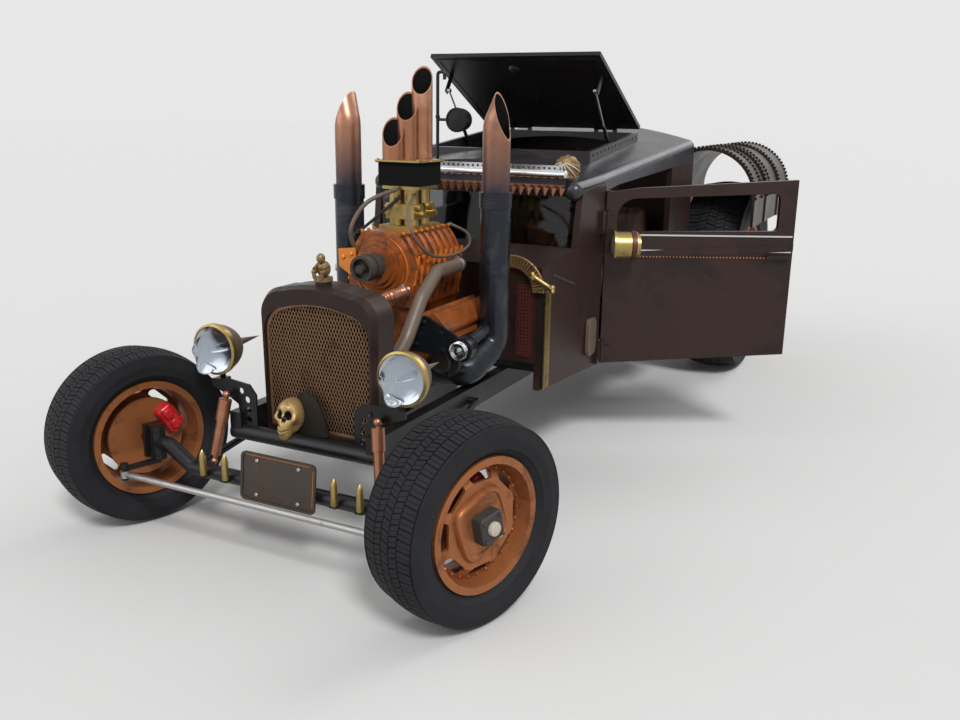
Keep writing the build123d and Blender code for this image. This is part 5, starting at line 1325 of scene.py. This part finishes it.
def add_cowl_comb(brass, side):
    turn = atan(cowl_lean)
    along, out = Vector((side * sin(turn), cos(turn), 0)), Vector((side * cos(turn), -sin(turn), 0))
    corner = car(side * 0.485, 1.120, 0.0)
    start, end = corner + along * 0.006 + out * 0.016, corner + along * 0.054 + out * 0.012
    for index in range(comb_fins):
        z = 0.412 + 0.0107 * index
        brass.bar(start + Vector((0, 0, z)), end + Vector((0, 0, z + 0.010)), 0.0052, 0.006, out)
    edge = 0.060
    x = side * (0.4895 + edge * cowl_lean)
    brass.tube([car(x, 1.12 + edge, z) for z in (0.408, 0.62, 0.842)], 0.0032, 10)


def make_cowl_parts():
    panel, arch, brass, dark, bolts = Build(), Build(), Build(), Build(), Build()
    for side in (-1, 1):
        panel.perforated(facing(panel_starts[side], 1.1185, 0.545), 5, 21, 0.015, 0.0045)
        add_cowl_arch(arch, side)
        add_cowl_bone(brass, side)
        for index in range(9):
            y, z = 1.215 + 0.021 * index, 0.890 - 0.0073 * index
            bolts.bolt(at(side * cowl_x(0.4845, y), y, z) @ rotation(90 * side, "Y"), 0.0072, 0.006)
        add_cowl_comb(brass, side)
        step_place = at(side * cowl_x(0.4860, 1.552), 1.552, 0.560) @ rotation(0 if side > 0 else 180, "Z")
        dark.soft_square(step_block, 6.0, 0.0, step_place @ Matrix.Diagonal(step_stretch))
    panel.piece("punched_panels", "oxide", "body_brown")
    arch.piece("cowl_arches", "bone", "bone_gold")
    brass.piece("cowl_bones", "brass", "brass_trim")
    dark.piece("cowl_fittings", "hose", "cast_grey")
    bolts.piece("cowl_bolts", "cast", "cast_grey")


# Doors: studs under the window, bright sill lines, lamp glass and band

door_turns = {"left": radians(63), "right": radians(4)}
stud_count = 46
stud_first, stud_pitch, stud_z = 0.148, 0.0155, 0.922
line_start, line_end = 0.150, 0.862
door_glass = ((0.054, -0.004), (0.054, 0.002), (0.040, 0.0055), (0.020, 0.0075), (0.0, 0.008))
door_band = ((0.0605, -0.096), (0.0645, -0.094), (0.0655, -0.084), (0.0645, -0.074), (0.0605, -0.072))


def door_place(side):
    """A frame on the door's outer skin: X along the door from its hinge, Y outwards, Z up."""
    turn = door_turns[side]
    sign = 1 if side == "left" else -1
    along = Vector((sign * sin(turn), cos(turn), 0))
    out = Vector((sign * cos(turn), -sin(turn), 0))
    hinge = Vector(joint_named("door_" + side + "_hinge")["pos_m"])
    origin = Vector((hinge.x, hinge.y, 0.0)) - along * 0.006 - out * 0.014
    return frame_from(along, out, Vector((0, 0, 1)), origin)


def make_door_parts(side):
    place = door_place(side)
    body = "door_" + side
    studs = Build()
    for index in range(stud_count):
        stud_place = place @ shifted(stud_first + stud_pitch * index, 0.004, stud_z) @ rotation(-90, "X")
        studs.bolt(stud_place, 0.0042, 0.003, 8)
    studs.piece("door_studs_" + side, "rust", "body_brown", body)
    line = Build()
    for z, depth in ((1.022, 0.005), (0.951, 0.003)):
        line.bar(place @ Vector((line_start, 0.001, z)), place @ Vector((line_end, 0.001, z)), 0.007, depth,
                 place.to_3x3() @ Vector((0, 1, 0)))
    line.piece("door_lines_" + side, "polished", "polished", body)
    lamp_place = place @ shifted(0.032, 0.078, 0.985) @ rotation(-90, "Y")
    lens, ring = Build(), Build()
    lens.lathe(door_glass, 40, lamp_place)
    lens.piece("door_lamp_glass_" + side, "pale", "lens_glass", body)
    ring.lathe(door_band, 48, lamp_place)
    ring.piece("door_lamp_band_" + side, "oxide", "copper", body)


# Hatch: a rim under its edges, a small lamp and a boss

roof_slope = 0.108
hatch_open = radians(33)
hatch_hinge = (0.0, 2.5, 1.48148)
hatch_lines = (
    # from and to: left of the middle, forward of the hinge
    ((-0.420, 0.060), (-0.420, 0.735)),
    ((0.420, 0.060), (0.420, 0.735)),
    ((-0.425, 0.735), (0.425, 0.735)),
)
rim_under = 0.0112
rim_wide, rim_deep = 0.014, 0.003
hatch_lamp = ((0.030, 0.0095), (0.030, 0.016), (0.022, 0.026), (0.0, 0.030))
hatch_boss = ((0.016, 0.0095), (0.016, 0.018), (0.0, 0.022))


def make_hatch_parts():
    lean = hatch_open - atan(roof_slope)
    under = Vector((0, -sin(lean), -cos(lean)))
    place = frame_from(Vector((1, 0, 0)), Vector((0, -cos(lean), sin(lean))), under, car(*hatch_hinge))
    rim = Build()
    for start, end in hatch_lines:
        ends = (place @ Vector((*point, rim_under)) for point in (start, end))
        rim.bar(*ends, rim_wide, rim_deep, under)
    rim.lathe(hatch_lamp, 32, place @ shifted(-0.026, 0.655, 0.0))
    rim.lathe(hatch_boss, 24, place @ shifted(-0.008, 0.385, 0.0))
    rim.piece("hatch_rim", "stack", "cast_grey", "roof_hatch")


# Number plate: four bolts and a bright edge

plate_lean = 6


def make_plate_parts():
    place = Matrix.Translation(middle_of("number_plate")) @ rotation(90 - plate_lean, "X")
    bolts, edge = Build(), Build()
    for x in (-0.090, 0.090):
        for y in (-0.062, 0.062):
            bolts.bolt(place @ shifted(x, y, 0.001), 0.0075, 0.008)
    bolts.piece("plate_bolts", "steel", "bare_steel")
    # The orange frame is drawn only along the top and right edges, in the brighter orange: a real orange edge
    # with painted highlight on its lit sides.
    for start, end in (((-0.138, 0.0795), (0.138, 0.0795)), ((0.152, 0.065), (0.152, -0.065))):
        edge.tube([place @ Vector((*start, 0.004)), place @ Vector((*end, 0.004))], 0.0026, 10)
    edge.piece("plate_edge", "lit_orange_paint", "orange_rust")


# Seats: two padded pieces, blown up as cloth and then drawn in along channels

seat_half = 0.466
back_lean = 8
seat_places = {
    # name: lowest and highest corner as built flat, lean in degrees
    "seat_cushion": ((-seat_half, 2.094, 0.620), (seat_half, 2.586, 0.722), 0),
    "seat_back": ((-seat_half, 0.016, 0.016), (seat_half, 0.104, 0.456), back_lean),
}
# Keeps the leaning back's lower edge just above what it stands on
seat_lift = 0.030 * (1 - cos(radians(back_lean))) + 0.090 * sin(radians(back_lean)) + 0.0003
back_foot = (0, 2.604, 0.606 + seat_lift)
seat_edge = 0.034
seat_voxel = 0.011
swell_limit = 0.022
swell_frames = 20
swell_pressure = 4.0
channel_pitch = 0.116
channel_depth = 0.010
channel_width = 0.009
channel_fade = 0.05
# Points this near the middle plane belong to the sides and keep their place
channel_skin = 0.02


def blow_up(thing, limit):
    """Lets a cloth skin swell under pressure, then keeps each point within a limit of where it started."""
    start = [v.co.copy() for v in thing.data.vertices]
    cloth = thing.modifiers.new("skin", "CLOTH")
    cloth.settings.use_pressure = True
    cloth.settings.uniform_pressure_force = swell_pressure
    cloth.settings.quality = 4
    cloth.settings.effector_weights.gravity = 0.0
    cloth.point_cache.frame_start = 1
    cloth.point_cache.frame_end = swell_frames
    for frame_number in range(1, swell_frames + 1):
        scene.frame_set(frame_number)
    swollen = thing.evaluated_get(bpy.context.evaluated_depsgraph_get())
    moved = [v.co.copy() for v in swollen.data.vertices]
    thing.modifiers.remove(cloth)
    scene.frame_set(1)
    for vert, before, after in zip(thing.data.vertices, start, moved):
        shift = after - before
        if shift.length > limit:
            shift *= limit / shift.length
        vert.co = before + shift


def apply_modifiers(thing):
    mesh = bpy.data.meshes.new_from_object(thing.evaluated_get(bpy.context.evaluated_depsgraph_get()))
    thing.modifiers.clear()
    thing.data = mesh


def draw_channels(thing, low, high, lean):
    """Sinks channels into the cushion's top and bottom, or into the front of the back."""
    up = 1 if lean else 2
    middle = (low[up] + high[up]) / 2
    half_pitch = channel_pitch / 2
    for vert in thing.data.vertices:
        side = 1 if vert.co[up] > middle else -1
        if (lean and side > 0) or abs(vert.co[up] - middle) <= channel_skin:
            continue
        rim = min(abs(abs(vert.co.x) - seat_half), channel_fade) / channel_fade
        nearest = abs((vert.co.x + half_pitch) % channel_pitch - half_pitch)
        vert.co[up] -= side * channel_depth * exp(-(nearest / channel_width) ** 2) * rim


def make_seat(name):
    low, high, lean = seat_places[name]
    form = pad_block(low, high, seat_edge)
    mesh = bpy.data.meshes.new(name)
    form.to_mesh(mesh)
    form.free()
    thing = bpy.data.objects.new(name, mesh)
    scene.collection.objects.link(thing)
    remesh = thing.modifiers.new("even", "REMESH")
    remesh.mode = "VOXEL"
    remesh.voxel_size = seat_voxel
    apply_modifiers(thing)
    blow_up(thing, swell_limit)
    finer = thing.modifiers.new("finer", "SUBSURF")
    finer.levels = 1
    apply_modifiers(thing)
    draw_channels(thing, low, high, lean)
    thing.data.transform(at(*back_foot) @ rotation(-lean, "X") if lean else at(0, 0, 0))
    dress(thing, finishes["leather"])
    thing.data.shade_smooth()
    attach(thing, "chassis")
    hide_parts("seats")


clear_start_scene()
make_camera()
make_suns()
make_world()
make_floor()
scene.view_settings.view_transform = "Standard"
finishes = make_finishes()
for finish, nodes in nodes_of_finish.items():
    for node in nodes.split():
        dress(frame["nodes"][node], finishes[finish])
for corner in corners:
    make_tyre(corner)
make_grille_mesh()
make_skull_ornament()
make_skull_shade_hood()
make_headlamps()
for corner in corners:
    make_wheel_face(corner)
for side in ("left", "right"):
    make_caliper(side)
make_hoses()
make_clamps()
make_blower_parts()
make_front_bracket()
make_alternator()
make_throttle_rods()
make_air_box_trim()
make_linings()
make_visor()
make_visor_teeth()
make_dome_lamp()
make_spot_lamp()
make_cowl_parts()
for side in ("left", "right"):
    make_door_parts(side)
make_hatch_parts()
make_plate_parts()
for name in seat_places:
    make_seat(name)
